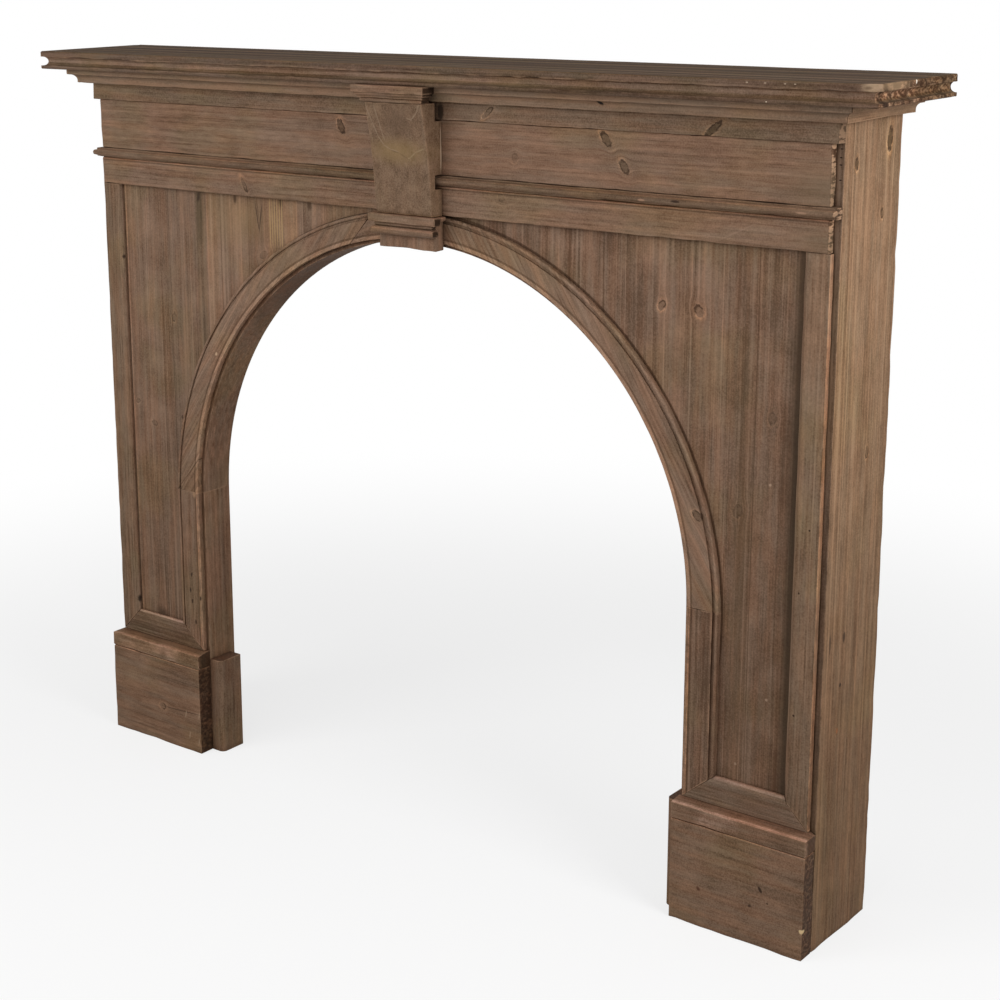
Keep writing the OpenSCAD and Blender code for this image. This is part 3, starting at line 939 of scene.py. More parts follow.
# The upward shares here are partly the paler weathering of tops and partly painted light and shade on tops;
# on MOULD and SHELF they paint shade on lit tops
FRONT = Pine()
FLUSH = Pine(lines=0.05, grime_and_shade=0.20)
MOULD = Pine(
    body="725B49", upward_wear_and_light=(0.92, 0.90, 0.88), rings=0.08, wear=0.6, grime_and_shade=0.15, lines=0.08, specks=1.3
)
PANEL = Pine(
    fibres=0.8, streaks=0.7, bands=1.1, dashes=0.2, rings=0.12, threads=0.40, cracks=0.20,
    blotches=1.0, lines=0.28, foot=(0.77, 0.75, 0.72),
)
SIDE = Pine(
    body="8B6E55", bands=1.0, streaks=1.3, threads=0.50, cracks=0.45, hues=0.7, rings=0.10, lines=0.6,
    foot=(0.72, 0.69, 0.66),
)
SHELF = Pine(
    body="5E4B3E", upward_wear_and_light=(0.89, 0.865, 0.745), end=(1.50, 1.38, 1.22), specks=1.4, rings=0.1,
    grime_and_shade=0.05, lines=0.6, bands=1.8, streaks=1.9, roughness=0.92,
)
FRAME = Pine(upward_wear_and_light=(1.0, 1.0, 1.0), threads=0.30, lines=0.30, foot=(0.82, 0.80, 0.78))
KEY = Pine(
    body="725B48", fibres=0.15, streaks=0.12, threads=0.0, cracks=0.0, dashes=0.45, rings=0.0,
    blotches=1.1, mottle=48.0, hues=0.3, bands=0.15, specks=1.5,
)
PLINTH = Pine(
    body="7D6350", upward_wear_and_light=(1.35, 1.27, 1.28), fibres=0.5, streaks=0.5, threads=0.1, blotches=0.9,
    specks=1.3, lines=0.5,
)
BLACK_END = Pine(end=(0.15, 0.13, 0.11), rings=0.05, wear=0.5)
LINING = Pine(body="846753", rings=0.12)
BARE = Pine(
    body="AE8B66", worn="C7A57E", upward_wear_and_light=(1.0, 1.0, 1.0), end=(0.85, 0.8, 0.75), grime_and_shade=0.4, wear=0.3,
    lines=0.4,
)

# Centres of the arch's bead and of its outer edge, and the radius just outside that edge
ARCH = (0.0, 0.0, 0.506)
ARCH_OUTSIDE = (0.0, 0.0, 0.495)
OUTSIDE_RADIUS = 0.5795

DARK_EDGE = (Facing(ROOMWARD, (0.62, 0.58, 0.55)),)
# Painted shade on the tops of the inner plinths
SHADED_TOP = (Facing(UP, (0.62, 0.60, 0.58)),)
STILE_FRONT = (Facing(ROOMWARD, (0.97, 1.01, 0.98)),)
# Painted highlight on the bead, partly worn, and painted shade in the quirk beside it
BEAD_HIGHLIGHT = (Stripe(0.5226, 0.5297, (1.50, 1.47, 1.45), centre=ARCH, broken=0.35),)
QUIRK_SHADE = (Stripe(0.5297, 0.5333, (0.66, 0.62, 0.58), centre=ARCH),)
CROWN_JOINT = (Stripe(-0.7702, -0.7688, (0.42, 0.37, 0.33), (0.7547, 0.0, -0.6561)),)
# Painted shade on the plinth cap's top behind its front, and a pale broken line along the front that is
# partly wear and partly painted highlight
CAP_TOP_SHADE_AND_HIGHLIGHT = (
    Stripe(-0.0705, -0.040, (0.66, 0.62, 0.60), DEEPER, soft=0.0015),
    Stripe(-0.0790, -0.0738, (1.62, 1.64, 1.80), DEEPER, broken=0.35),
)
GRAIN_ON_KEY = (
    ("97826C", (
        (-0.0568, 1.2479), (-0.0480, 1.2210), (-0.0396, 1.1988),
        (-0.0294, 1.1848), (-0.0178, 1.1790), (0.0002, 1.1752),
    )),
    ("97826C", ((-0.0397, 1.2503), (-0.0347, 1.2248), (-0.0303, 1.2041), (-0.0262, 1.1914))),
    ("5A4636", ((-0.0160, 1.1770), (0.0002, 1.1735), (0.0172, 1.1649))),
    ("97826C", ((0.0552, 1.2560), (0.0459, 1.2398), (0.0335, 1.2281), (0.0239, 1.2309))),
    ("9A8768", ((0.0172, 1.1655), (0.0216, 1.1668), (0.0352, 1.1772), (0.0522, 1.1830))),
)
CAP_JOINT = Stripe(0.1678, 0.1693, (1.30, 1.25, 1.18), broken=0.4)
GRAIN_ON_TOP = tuple(
    Stripe(y - half, y + half, (tone * tone, tone * tone, tone * tone), DEEPER, soft=0.002, broken=0.3)
    for y, half, tone in (
        (-0.108, 0.0030, 1.16), (-0.097, 0.0050, 0.84), (-0.082, 0.0040, 1.15), (-0.066, 0.0070, 0.85),
        (-0.047, 0.0050, 1.14), (-0.025, 0.0090, 0.86), (0.004, 0.0070, 1.15), (0.030, 0.0110, 0.86),
        (0.060, 0.0080, 1.12), (0.085, 0.0090, 0.85),
    )
)


def outside_arch(turn: float) -> Place:
    """Give the place on the left panel just outside the arch band, some degrees left of its crown."""
    angle = math.radians(turn)
    return (-OUTSIDE_RADIUS * math.sin(angle), ARCH_OUTSIDE[2] + OUTSIDE_RADIUS * math.cos(angle))


def jamb_moulding(side: float) -> tuple[Stripe, ...]:
    """Make the stripes on one jamb: a painted highlight on the bead, painted shade in the quirk and a pale
    line at the bead's edge.

    Args:
        side: -1 for the left jamb, 1 for the right one.

    Returns:
        The stripes.
    """
    bead, quirk = sorted((side * 0.5237, side * 0.5291)), sorted((side * 0.5297, side * 0.5333))
    edge = sorted((side * 0.5276, side * 0.5296))
    return (
        Stripe(*bead, BEAD_HIGHLIGHT[0].share, ACROSS, broken=0.5), Stripe(*quirk, QUIRK_SHADE[0].share, ACROSS),
        Stripe(*edge, (1.45, 1.32, 1.20), ACROSS, broken=0.4),
    )


@dataclass
class Shelf(Joinery):
    """The mantel shelf and the bed mould under it; the shelf's right front corner is broken."""

    broken_along: float = 0.023
    broken_back: float = 0.012
    lip: float = 0.0105

    def boards(self) -> dict[str, Board]:
        """Lay out the boards.

        Returns:
            Each board by its node.
        """
        return {
            "mantel_shelf": Board(
                SHELF, Lay.FLAT, 1.1, (0.03, -0.09), wear=0.5, chewed=1.0,
                flecks=(
                    Fleck((0.818, -0.112, 1.309), 0.0035, "A58D72", 4.0, 28.0, 0.6, 0.6),
                    Fleck((0.829, -0.070, 1.309), 0.0035, "A08567", 11.0, 90.0, 0.6, 0.5),
                    *(
                        Fleck((x, -0.1175, 1.3088), 0.0009, "9E8A75", 2.0, deep=1.0)
                        for x in (0.633, 0.661, 0.6914, 0.7064)
                    ),
                    Fleck((0.6635, -0.1175, 1.2835), 0.0010, "CDBBA4", deep=1.0),
                    Fleck((0.826, -0.1110, 1.3035), 0.0025, "2A1D16", 2.0, 20.0, 0.5, 0.7, 1.0),
                    Fleck((0.812, -0.1140, 1.3075), 0.0020, "4A382B", 2.4, 28.0, 0.6, 0.6, 1.0),
                    Fleck((0.829, -0.063, 1.297), 0.0016, "EADFD0"),
                    Fleck((0.829, -0.004, 1.311), 0.0016, "EADFD0"),
                    Fleck((0.829, -0.095, 1.291), 0.006, "2A1D16", 2.0, 60.0, 0.5, 0.8),
                    Fleck((0.829, -0.045, 1.293), 0.004, "2E2018", 2.6, 80.0, 0.5, 0.7),
                ),
                stripes=GRAIN_ON_TOP + (
                    # Painted light in the shelf's cove against the shade there; the thin broken pale line at
                    # its top is wear
                    Stripe(1.2925, 1.3022, (1.30, 1.27, 1.24), soft=0.0012),
                    Stripe(1.3005, 1.3022, (1.25, 1.2, 1.16), broken=0.5),
                ),
            ),
            "bed_mould_front": Board(
                MOULD, Lay.LEVEL, 2.3, (0.08, 0.1), lift=0.31,
                flecks=(Fleck((0.375, -0.091, 1.268), 0.0035, "140E0A", 1.6, -40.0),),
            ),
            "bed_mould_left": Board(SIDE, Lay.RETURN, 3.7, (0.08, 0.1)),
            "bed_mould_right": Board(SIDE, Lay.RETURN, 4.1, (0.08, 0.1)),
        }

    def shape(self, node: str, copy: WornCopy) -> None:
        """Break the corner of the shelf's upper lip before the arrises wear.

        Args:
            node: The node that it is a copy of.
            copy: The copy.
        """
        if node == "mantel_shelf":
            corner = Vector((copy.high.x, copy.low.y, copy.high.z))
            start = corner - Vector((self.broken_along, 0.0, 0.0))
            out = Vector((self.broken_back, -self.broken_along, 0.0)).normalized()
            copy.shear_off(start, out, corner.z - self.lip)
        super().shape(node, copy)


@dataclass
class Cornice(Joinery):
    """Fascia, frieze, astragal and architrave rail."""

    fascia_face: float = -0.0655
    flush_face: float = -0.0605
    astragal_nose: float = -0.074

    def boards(self) -> dict[str, Board]:
        """Lay out the boards.

        Returns:
            Each board by its node.
        """
        return {
            "cornice_fascia": Board(
                MOULD, Lay.LEVEL, 5.9, (0.12, 0.07), self.fascia_face, wear=0.5, lift=-0.03,
                knots=(
                    Knot((0.152, 1.242), 0.0038, 3.4, 42.0, 1.4, True),
                    Knot((0.552, 1.237), 0.005, 3.2, 40.0, 1.5),
                ),
                # Painted shadow in the gap on the fascia beside the keystone
                flecks=(Fleck((0.0590, 1.2386), 0.0140, "2B2018", 0.42, strength=0.9),),
                frayed=0.45,
            ),
            "frieze_board": Board(
                FLUSH, Lay.LEVEL, 6.3, (-0.03, 0.09), self.flush_face, wear=0.4, frayed=1.0,
                flecks=(Fleck((0.725, 1.160), 0.035, "6B5A45", 1.5, 0.0, 0.9, 0.5),),
                knots=(
                    Knot((-0.154, 1.205), 0.006, 2.0, -62.0, 1.3),
                    Knot((0.200, 1.175), 0.005, 1.5, 80.0, 0.4),
                    Knot((0.367, 1.212), 0.006, 2.2, -50.0, 1.2),
                    Knot((0.400, 1.173), 0.006, 1.9, -55.0, 1.15),
                ),
            ),
            "astragal": Board(
                MOULD, Lay.LEVEL, 7.7, (0.08, 0.05), self.astragal_nose, wear=0.5, frayed=0.8,
                flecks=(
                    Fleck((0.497, 1.130), 0.0018, stretch=4.0),
                    Fleck((0.439, 1.128), 0.0018, "B08A70", 3.5, strength=0.6),
                    Fleck((0.700, 1.129), 0.0016, "A5826A", 5.0, 0.0, 0.4, 0.6),
                ),
                # Painted shade on the astragal's nose, a painted highlight on the upper fillet that is
                # partly wear, and painted shade in the groove above it
                stripes=(
                    Stripe(1.1240, 1.1332, (0.92, 0.92, 0.92), soft=0.001),
                    Stripe(1.1334, 1.1350, (1.40, 1.34, 1.30), broken=0.4),
                    Stripe(1.1352, 1.1366, (0.72, 0.68, 0.65)),
                ),
                # Painted light on the astragal's underside, against the shade that falls there
                facings=(Facing(DOWN, (1.5, 1.45, 1.42)),),
            ),
            "architrave_rail": Board(
                FRONT, Lay.LEVEL, 8.5, (0.09, 0.06), self.flush_face, wear=0.4, frayed=1.0,
                knots=(
                    Knot((-0.379, 1.093), 0.004, 3.2, -60.0, 1.0, True),
                    Knot((0.174, 1.110), 0.005, 1.4, -50.0, 0.4),
                ),
                flecks=(
                    Fleck((0.597, 1.094), 0.0012, "A08370", 26.0, 26.0, 0.5, 0.25),
                    Fleck((0.725, 1.088), 0.018, "6A5944", 2.4, 0.0, 0.9, 0.5),
                ),
                # Painted light and shade on the rail's top under the astragal: a pale broken line that is
                # partly wear, a painted shadow line, a painted lighter band, and painted light against the
                # astragal's shadow
                stripes=(
                    Stripe(1.1176, 1.1196, (1.42, 1.36, 1.32), broken=0.3),
                    Stripe(1.1150, 1.1172, (0.66, 0.62, 0.58)),
                    Stripe(1.1080, 1.1140, (1.12, 1.10, 1.08), soft=0.001),
                    Stripe(1.1172, 1.1210, (1.15, 1.15, 1.15), soft=0.0002),
                ),
            ),
        }


@dataclass
class Carcass(Joinery):
    """The two side boards."""

    outside: float = 0.75

    def boards(self) -> dict[str, Board]:
        """Lay out the boards.

        Returns:
            Each board by its node.
        """
        return {
            "side_board_left": Board(SIDE, Lay.SIDE, 9.9, (0.05, 0.12)),
            "side_board_right": Board(
                SIDE, Lay.SIDE, 10.4, (0.05, 0.12), self.outside,
                knots=(
                    Knot((-0.011, 1.194), 0.0050, 1.7, 0.0, 1.6),
                    Knot((0.090, 1.221), 0.0070, 2.4, 5.0, 1.8),
                    Knot((0.075, 1.116), 0.0042, 1.7, 0.0, 1.2),
                    Knot((0.062, 0.765), 0.0050, 1.6, 0.0, 0.9),
                ),
                flecks=(
                    Fleck((0.072, 1.017), 0.002, "A98A70", 14.0, 0.0, 0.6, 0.6),
                    Fleck((0.072, 0.969), 0.002, "A98A70", 12.0, 0.0, 0.6, 0.6),
                    Fleck((0.016, 0.491), 0.004, stretch=2.0, strength=0.8),
                    Fleck((0.006, 0.345), 0.003, "8A5A3C", 1.5),
                    Fleck((-0.029, 0.492), 0.003, stretch=5.0, strength=0.6),
                    Fleck((0.010, 0.417), 0.003),
                    Fleck((-0.057, 0.440), 0.003),
                    *(Fleck((0.744, -0.0475, z), 0.0009, "1C1410") for z in (1.218, 1.206, 1.196, 1.175)),
                ),
                # Front edge darkened: painted shade in the strip beside the stile, together with dirt
                facings=(Facing(ROOMWARD, (0.58, 0.60, 0.67)),),
            ),
        }


@dataclass
class Panels(Joinery):
    """The two panels, whose faces are flat and carry the applied frame."""

    worn: bool = False
    face: float = -0.048

    def boards(self) -> dict[str, Board]:
        """Lay out the boards.

        Returns:
            Each board by its node.
        """
        return {
            "panel_left": Board(
                PANEL, Lay.UPRIGHT, 11.6, (-0.02, 0.08), self.face,
                knots=(
                    Knot((-0.349, 0.971), 0.006, 1.6, 60.0, 0.5),
                    Knot((-0.579, 0.835), 0.005, 1.7, 15.0, 0.7),
                    Knot((-0.641, 0.626), 0.005, 1.4, 90.0, 0.6),
                    Knot((-0.684, 0.663), 0.004, 1.4, 60.0, 0.6),
                ),
                flecks=(
                    Fleck((-0.500, 1.029), 0.002, stretch=5.0, strength=0.6),
                    Fleck((-0.415, 1.063), 0.002, stretch=3.0, strength=0.6),
                    Fleck((-0.567, 0.648), 0.0025, stretch=1.6, strength=0.7),
                    Fleck((-0.705, 0.559), 0.0025, stretch=1.6, strength=0.7),
                    Fleck((-0.400, 1.030), 0.060, "8C7350", 0.6, 0.0, 0.9, 0.35),
                    Fleck((-0.503, 1.025), 0.0085, "4E4230", 5.5, 0.0, 0.7, 0.6),
                    # Painted shadow line along the arch band's outer edge
                    *(
                        Fleck.line(outside_arch(turn), outside_arch(turn + 6.0), 0.0012, "2E2219", 0.75)
                        for turn in (8.0, 14.0, 20.0, 26.0, 32.0, 38.0)
                    ),
                    Fleck((-0.640, 0.248), 0.014, "33261C", 0.7, 10.0, 0.9, 0.7),
                    Fleck((-0.505, 1.062), 0.0035, "33261C", 2.6, 10.0, 0.6, 0.8),
                    *(
                        Fleck((x, 1.066), 0.0045, "3E2C1E", 1.8, 0.0, 0.7, 0.75)
                        for x in (-0.415, -0.307, -0.24)
                    ),
                    *(
                        Fleck.line((x, 1.074), (x, 0.985), 0.0011, "A98C62", 0.75)
                        for x in (-0.3320, -0.3265, -0.3210, -0.3155, -0.3095, -0.3040)
                    ),
                    Fleck.line((-0.3583, 1.012), (-0.3660, 1.060), 0.0012, "46352A", 0.9),
                    Fleck.line((-0.3583, 1.012), (-0.3505, 1.060), 0.0012, "46352A", 0.9),
                    Fleck.line((-0.3583, 1.030), (-0.3625, 1.066), 0.0008, "46352A", 0.7),
                ),
                seams=(Seam(-0.584, 0.04), Seam(-0.452, 0.08), Seam(-0.384, -0.09)),
                stripes=(
                    Stripe(-0.6962, -0.6932, (1.50, 1.45, 1.42), ACROSS, broken=0.45),
                    Stripe(-0.5930, -0.5135, (0.89, 0.91, 0.92), ACROSS, soft=0.003),
                    Stripe(-0.5135, -0.4900, (0.80, 0.83, 0.78), ACROSS, soft=0.004),
                    Stripe(-0.4858, -0.4600, (1.14, 1.10, 1.02), ACROSS, soft=0.003),
                    Stripe(-0.3840, -0.3416, (0.91, 0.87, 0.83), ACROSS, soft=0.003),
                    Stripe(-0.3368, -0.2688, (1.12, 1.11, 1.01), ACROSS, soft=0.003),
                ),
            ),
            "panel_right": Board(
                PANEL, Lay.UPRIGHT, 12.2, (0.05, 0.08), self.face,
                knots=(
                    Knot((0.462, 0.970), 0.0055, 1.4, 30.0, 1.5, True),
                    Knot((0.526, 0.968), 0.0065, 1.4, -30.0, 1.4, True),
                    Knot((0.601, 0.674), 0.007, 1.4, 20.0, 0.6),
                    Knot((0.653, 0.823), 0.006, 1.5, 10.0, 0.5),
                ),
                flecks=(
                    Fleck((0.653, 0.723), 0.0022, "A58A74", strength=0.7),
                    Fleck((0.659, 0.389), 0.0022, "9A806B", strength=0.7),
                    Fleck((0.610, 0.273), 0.0022, "9A806B", strength=0.7),
                    # Painted shadow line at the right stile's edge
                    Fleck((0.698, 0.700), 0.015, "3A2D20", 40.0, 0.0, 0.9, 0.8),
                    Fleck((0.548, 0.390), 0.011, "82675A", 17.0, 0.0, 0.9, 0.45),
                    Fleck((0.608, 0.560), 0.013, "55442F", 22.0, 0.0, 0.9, 0.30),
                ),
                seams=(Seam(0.358, -0.03), Seam(0.625, 0.0)),
                # Painted shadow cast by the right stile on the panel, and a painted shadow line along the
                # arch band's outer edge
                stripes=(
                    Stripe(0.6860, 0.7100, (0.66, 0.64, 0.60), ACROSS, soft=0.006),
                    Stripe(0.5780, 0.5818, (0.50, 0.45, 0.41), centre=ARCH_OUTSIDE, soft=0.0008),
                ),
                lift=-0.08,
            ),
        }


@dataclass
class AppliedFrame(Joinery):
    """Stiles, leg rails and the moulded band round the opening."""

    wear: Wear = Wear(arris=0.0009, drift=0.0002, bite=0.0006)
    face: float = -0.0575

    def boards(self) -> dict[str, Board]:
        """Lay out the boards.

        Returns:
            Each board by its node.
        """
        return {
            "stile_left": Board(
                FRAME, Lay.UPRIGHT, 13.8, (0.2, 0.05), self.face, wear=1.2, facings=STILE_FRONT,
                flecks=(
                    *(Fleck(at, 0.0028, stretch=1.6) for at in ((-0.699, 0.937), (-0.694, 0.896))),
                    Fleck((-0.6985, -0.0545, 0.268), 0.0028, "17100B", 2.6, 0.0, 0.5, 0.9),
                ),
            ),
            "stile_right": Board(
                FRAME, Lay.UPRIGHT, 14.1, (0.2, 0.05), self.face, lift=-0.05, facings=STILE_FRONT,
                stripes=(Stripe(0.7392, 0.7420, (1.65, 1.48, 1.32), ACROSS, broken=0.5),),
                flecks=tuple(
                    Fleck(at, 0.0016) for at in ((0.724, 0.669), (0.711, 0.571), (0.710, 0.380))
                ),
            ),
            "leg_rail_left": Board(
                FRAME, Lay.LEVEL, 15.7, (0.2, 0.05), lift=-0.24, wear=0.4,
                facings=(Facing(ROOMWARD, (0.97, 1.02, 1.05)),),
                # Pale line on the top bevel: partly wear and partly painted highlight
                stripes=(Stripe(0.2425, 0.2470, (2.25, 2.32, 2.65), broken=0.25),),
            ),
            "leg_rail_right": Board(
                FRAME, Lay.LEVEL, 16.2, (0.2, 0.05), lift=-0.03, wear=0.4,
                facings=(Facing(ROOMWARD, (0.96, 1.03, 1.08)),),
                # Pale line on the top bevel: partly wear and partly painted highlight
                stripes=(Stripe(0.2415, 0.2470, (1.72, 1.74, 1.92), broken=0.25),),
            ),
            "jamb_band_left": Board(
                FRAME, Lay.UPRIGHT, 17.4, (0.2, 0.05), self.face, lift=-0.04, stripes=jamb_moulding(-1.0),
                flecks=(
                    Fleck((-0.534, 0.506), 0.004, "9A7A5E", 1.4, 0.0, 0.6, 0.7),
                    *(
                        Fleck((x, z), 0.0022, "2E2118", 2.0, turn, 0.4, 0.85)
                        for x, z, turn in (
                            (-0.5484, 0.3475, 15.0), (-0.5487, 0.2949, 0.0), (-0.5270, 0.3042, 5.0),
                            (-0.5529, 0.3159, 0.0), (-0.5414, 0.2546, 0.0),
                        )
                    ),
                ),
            ),
            "jamb_band_right": Board(
                FRAME, Lay.UPRIGHT, 18.9, (0.2, 0.05), lift=-0.22, stripes=jamb_moulding(1.0)
            ),
            "arch_band_left": Board(
                FRAME, Lay.RISING, 19.3, (0.2, 0.05), self.face, wear=0.15,
                stripes=BEAD_HIGHLIGHT + QUIRK_SHADE + CROWN_JOINT,
                flecks=(Fleck((-0.464, 0.782), 0.0025, "B09276", 1.3),),
            ),
            "arch_band_crown": Board(
                FRAME, Lay.SHALLOW, 20.6, (0.2, 0.05), wear=0.15, stripes=BEAD_HIGHLIGHT + QUIRK_SHADE + CROWN_JOINT
            ),
            "arch_band_right": Board(
                FRAME, Lay.FALLING, 21.5, (0.2, 0.05), self.face, lift=0.04, wear=0.15, stripes=BEAD_HIGHLIGHT + QUIRK_SHADE,
                knots=(Knot((0.538, 0.658), 0.006, 1.5, 20.0, 0.9),),
            ),
        }


@dataclass
class Reveal(Joinery):
    """Linings of the jambs and the arch, and the small plinth blocks inside them."""

    worn: bool = False

    def boards(self) -> dict[str, Board]:
        """Lay out the boards.

        Returns:
            Each board by its node.
        """
        return {
            **{
                node: Board(LINING, Lay.SIDE, seed, (0.1, 0.1), facings=DARK_EDGE)
                for node, seed in (
                    ("jamb_lining_left", 22.8), ("jamb_lining_right", 23.4),
                    ("arch_lining_left", 24.7), ("arch_lining_right", 25.2),
                )
            },
            **{
                node: Board(PLINTH, Lay.UPRIGHT, seed, (0.1, 0.1), facings=SHADED_TOP, lift=-0.09)
                for node, seed in (("inner_plinth_left", 26.1), ("inner_plinth_right", 27.9))
            },
        }


@dataclass
class Keystone(Joinery):
    """The keystone's body, cap, collar and base block."""

    wear: Wear = Wear(arris=0.0012, pitch=0.008, drift=0.0003, bite=0.0008)
    face: float = -0.105

    def boards(self) -> dict[str, Board]:
        """Lay out the boards.

        Returns:
            Each board by its node.
        """
        return {
            "keystone_body": Board(
                KEY, Lay.UPRIGHT, 28.3, (-0.004, -0.060), self.face, wear=1.3,
                flecks=(
                    Fleck((-0.002, -0.098, 1.176), 0.048, "866D48", 0.36, 0.0, 0.8, 0.6),
                    Fleck((0.005, -0.108, 1.225), 0.026, "5E4A3A", 0.9, 0.0, 0.9, 0.5),
                    Fleck((0.058, -0.066, 1.136), 0.0022, "15100C"),
                    *(
                        Fleck.line(start, end, 0.0011, tone, 0.42, 25.0)
                        for tone, path in GRAIN_ON_KEY
                        for start, end in zip(path, path[1:])
                    ),
                    Fleck((0.058, -0.0640, 1.178), 0.0013, "B59D86", 28.0, 0.0, 0.35, 0.85, 1.0),
                    Fleck((0.058, -0.0765, 1.240), 0.0013, "A9927C", 10.0, 0.0, 0.35, 0.7, 1.0),
                ),
                # Painted light on the keystone's right-facing side
                facings=(Facing(ACROSS, (1.10, 1.07, 1.04)),),
                stripes=(Stripe(1.0725, 1.0750, (1.45, 1.38, 1.22), broken=0.3),),
            ),
            "keystone_cap": Board(BLACK_END, Lay.LEVEL, 29.6, (0.1, 0.1)),
            "keystone_collar": Board(BLACK_END, Lay.LEVEL, 30.2, (0.1, 0.1)),
            "keystone_base": Board(FRONT, Lay.UPRIGHT, 31.4, (0.1, 0.1)),
        }


@dataclass
class Plinths(Joinery):
    """Plinth blocks and caps under the legs."""

    face: float = -0.0795

    def boards(self) -> dict[str, Board]:
        """Lay out the boards.

        Returns:
            Each board by its node.
        """
        return {
            "plinth_block_left": Board(
                PLINTH, Lay.LEVEL, 32.8, (0.02, 0.09), self.face, wear=0.6,
                knots=(Knot((-0.618, 0.073), 0.006, 1.4, 0.0, 0.9, True),),
                facings=(Facing(ACROSS, (0.66, 0.60, 0.56)),), chewed=0.8, stripes=(CAP_JOINT,),
                flecks=(
                    Fleck((-0.568, 0.076), 0.0012, stretch=45.0, turn=3.0, strength=0.6),
                    *(
                        Fleck(at, 0.0010, "A58D74", 7.0, 80.0, 0.5, 0.6) for at in (
                            (-0.5554, 0.0722), (-0.5203, 0.0769), (-0.5467, 0.0314), (-0.5230, 0.0233),
                        )
                    ),
                ),
            ),
            "plinth_block_right": Board(
                PLINTH, Lay.LEVEL, 33.5, (0.02, 0.09), self.face, wear=0.6,
                flecks=(
                    Fleck((0.748, 0.049), 0.0034, "D0B488"),
                    Fleck((0.570, 0.064), 0.0028, "4A2D1F", 1.4, -50.0, 0.5, 0.8),
                    Fleck((0.677, 0.096), 0.0025, "2A1D14", 2.2, -55.0, 0.4, 0.9),
                    Fleck((0.660, 0.064), 0.0025, strength=0.8),
                    Fleck((0.690, 0.077), 0.0016, strength=0.8),
                    Fleck((0.738, 0.076), 0.010, "4A382C", 1.4, 0.0, 0.8, 0.4),
                ),
                facings=(Facing(ACROSS, (0.90, 0.88, 0.86)),), chewed=0.8, stripes=(CAP_JOINT,),
            ),
            "plinth_cap_left": Board(
                PLINTH, Lay.LEVEL, 34.7, (0.1, 0.09), stripes=CAP_TOP_SHADE_AND_HIGHLIGHT,
                facings=(Facing(ACROSS, (0.7, 0.66, 0.62)),),
            ),
            "plinth_cap_right": Board(PLINTH, Lay.LEVEL, 35.1, (0.1, 0.09), stripes=CAP_TOP_SHADE_AND_HIGHLIGHT),
        }


@dataclass
class HiddenFraming(Joinery):
    """Rails, cleats, battens and glue blocks behind the front, left as sawn."""

    worn: bool = False

    def boards(self) -> dict[str, Board]:
        """Lay out the boards.

        Returns:
            Each board by its node.
        """
        rows = (
            ("shelf_cleat", Lay.LEVEL, 37.4),
            ("joint_batten", Lay.UPRIGHT, 38.8),
            ("corner_blocks_left", Lay.UPRIGHT, 39.1),
            ("corner_blocks_right", Lay.UPRIGHT, 40.6),
            ("arch_blocks_left", Lay.RISING, 41.3),
            ("arch_blocks_right", Lay.FALLING, 42.9),
            ("jamb_cleat_left", Lay.UPRIGHT, 43.5),
            ("jamb_cleat_right", Lay.UPRIGHT, 44.2),
            ("foot_cleat_left", Lay.LEVEL, 45.8),
            ("foot_cleat_right", Lay.LEVEL, 46.1),
        )
        framing = {"wall_rail": Board(BARE, Lay.LEVEL, 36.2, (0.02, 0.05))}
        return framing | {node: Board(BARE, lay, seed, (0.1, 0.05)) for node, lay, seed in rows}


@dataclass
class Lamp:
    """An area lamp that faces the surround."""

    name: str
    place: Point
    width: float
    power: float
    target: Point = (0.0, 0.0, 0.65)

    def build(self) -> bpy.types.Object:
        """Make the lamp.

        Returns:
            The lamp.
        """
        data = bpy.data.lights.new(self.name, "AREA")
        data.size, data.energy = self.width, self.power
        lamp = bpy.data.objects.new(self.name, data)
        lamp.visible_camera = False
        lamp.location = self.place
        aim = Vector(self.target) - Vector(self.place)
        lamp.rotation_euler = aim.to_track_quat("-Z", "Y").to_euler()
        bpy.context.scene.collection.objects.link(lamp)
        return lamp


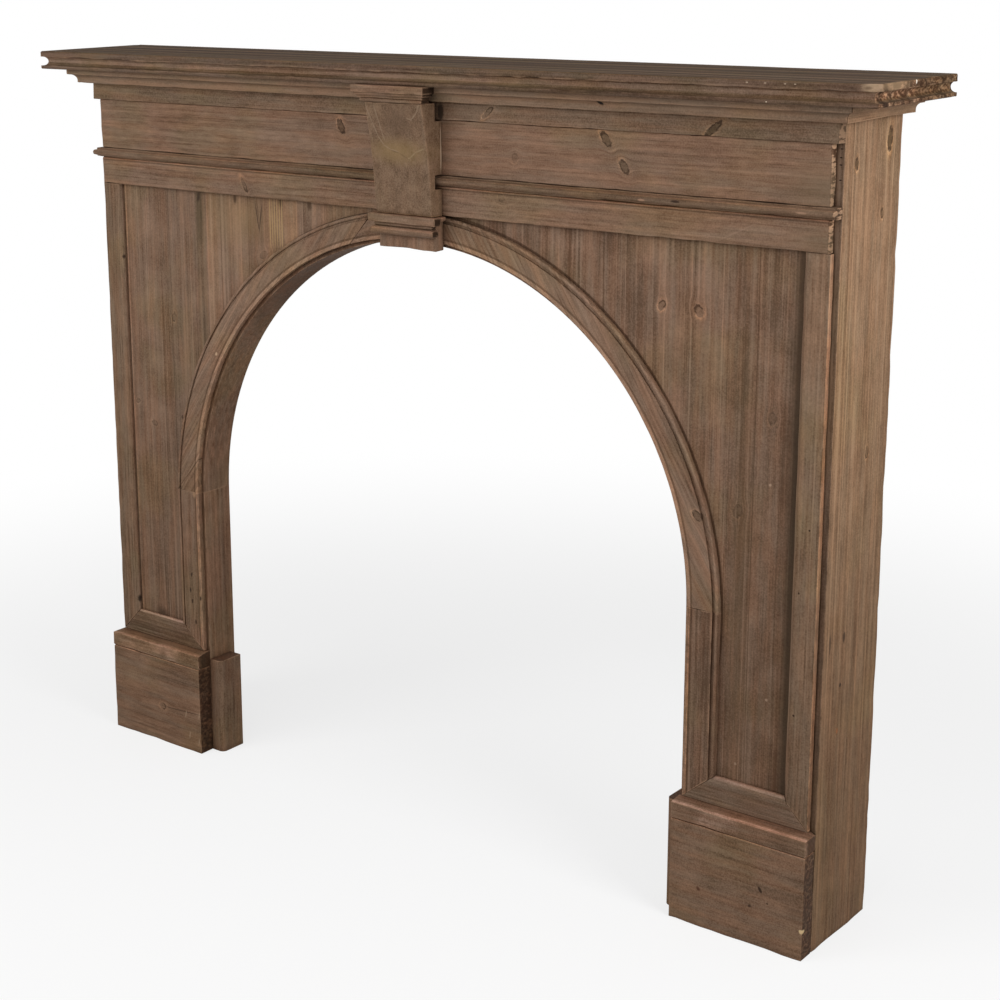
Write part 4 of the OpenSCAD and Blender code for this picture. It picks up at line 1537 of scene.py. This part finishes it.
@dataclass
class Studio:
    """White room, soft lamps and the camera."""

    ambient: float = 0.30
    floor_size: float = 60.0
    fade: tuple[float, float] = (0.9, 2.6)
    floor_glow: float = 0.74
    floor_seen: Colour = (0.9, 0.9, 0.9, 1.0)
    floor_unseen: Colour = (0.35, 0.35, 0.35, 1.0)
    eye: Point = (1.98148, -2.52231, 1.50403)
    right: Point = (0.7752537, 0.6315582, -0.0107716)
    up: Point = (-0.1423162, 0.1912605, 0.9711671)
    back: Point = (0.6154087, -0.7513679, 0.2381564)
    lens: float = 70.47
    sensor: float = 36.0
    shift: tuple[float, float] = (0.100, -0.0805)
    lamps: tuple[Lamp, ...] = (
        Lamp("left", (-1.4, -2.4, 1.6), 1.6, 31.0),
        Lamp("right", (2.3, -0.5, 1.6), 1.0, 30.5),
        Lamp("front", (0.3, -2.4, 1.5), 2.0, 15.0),
        Lamp("above", (0.0, -1.8, 2.2), 2.2, 5.5),
    )

    @staticmethod
    def _seen(graph: Graph, path: bpy.types.Node) -> Signal:
        """Tell the rays that the viewer, a gloss or a glass sends from those that light sends.

        Args:
            graph: The graph that asks.
            path: Its light path node.

        Returns:
            1 for the former and 0 for the latter.
        """
        viewed, glossy, passed = (
            Signal(graph, path.outputs[f"Is {kind} Ray"]) for kind in ("Camera", "Glossy", "Transmission")
        )
        return viewed.either(glossy).either(passed)

    def light(self) -> None:
        """Light the room evenly and set the lamps."""
        world = bpy.data.worlds.new("room")
        graph = Graph(world)
        white = self._seen(graph, graph.add("ShaderNodeLightPath"))
        strength = self.ambient + white * (1.0 - self.ambient)
        glow = graph.add("ShaderNodeBackground", None, {"Color": WHITE, "Strength": strength})
        graph.add("ShaderNodeOutputWorld", None, {0: glow.outputs[0]})
        bpy.context.scene.world = world
        for lamp in self.lamps:
            lamp.build()

    def lay_floor(self) -> bpy.types.Object:
        """Lay a white floor that keeps a soft shadow near the surround and fades into the room.

        Returns:
            The floor.
        """
        mesh = bmesh.new()
        bmesh.ops.create_grid(mesh, x_segments=1, y_segments=1, size=self.floor_size / 2)
        data = bpy.data.meshes.new("studio_floor")
        mesh.to_mesh(data)
        mesh.free()
        graph = Graph(bpy.data.materials.new("floor_white"))
        path = graph.add("ShaderNodeLightPath")
        spot = graph.add("ShaderNodeTexCoord").outputs["Object"]
        share = self.floor_glow + graph.length(spot).ease(*self.fade) * (1.0 - self.floor_glow)
        pale = graph.mix(self._seen(graph, path), self.floor_unseen, self.floor_seen)
        matt = graph.add("ShaderNodeBsdfDiffuse", None, {"Color": pale})
        glow = graph.add("ShaderNodeEmission", None, {"Color": WHITE, "Strength": 1.0})
        share = share * self._seen(graph, path)
        both = graph.add("ShaderNodeMixShader", None, {0: share, 1: matt.outputs[0], 2: glow.outputs[0]})
        graph.add("ShaderNodeOutputMaterial", None, {0: both.outputs[0]})
        data.materials.append(graph.owner)
        floor = bpy.data.objects.new("studio_floor", data)
        bpy.context.scene.collection.objects.link(floor)
        return floor

    def set_camera(self) -> bpy.types.Object:
        """Place the camera where the view of the surround is taken from.

        Returns:
            The camera.
        """
        data = bpy.data.cameras.new("view")
        data.sensor_width, data.lens = self.sensor, self.lens
        data.shift_x, data.shift_y = self.shift
        camera = bpy.data.objects.new("view", data)
        turn = Matrix((self.right, self.up, self.back)).transposed().to_4x4()
        camera.matrix_world = Matrix.Translation(self.eye) @ turn
        bpy.context.scene.collection.objects.link(camera)
        bpy.context.scene.camera = camera
        return camera

    def build(self) -> None:
        """Set up the whole room."""
        bpy.context.scene.view_settings.view_transform = "Standard"
        self.light()
        self.lay_floor()
        self.set_camera()


def main() -> None:
    """Build the room and every sub-assembly, and log the faces of each piece and the number of pieces in
    each sub-assembly.
    """
    logging.basicConfig(level=logging.INFO, format="%(name)s: %(message)s")
    noise.seed_set(NOISE_SEED)
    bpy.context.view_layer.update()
    Studio().build()
    kinds = (Shelf, Cornice, Carcass, Panels, AppliedFrame, Reveal, Keystone, Plinths, HiddenFraming)
    for kind in kinds:
        assembly = kind()
        made = assembly.build()
        log.info("%s: %d pieces", type(assembly).__name__, len(made))


if __name__ == "__main__":
    main()
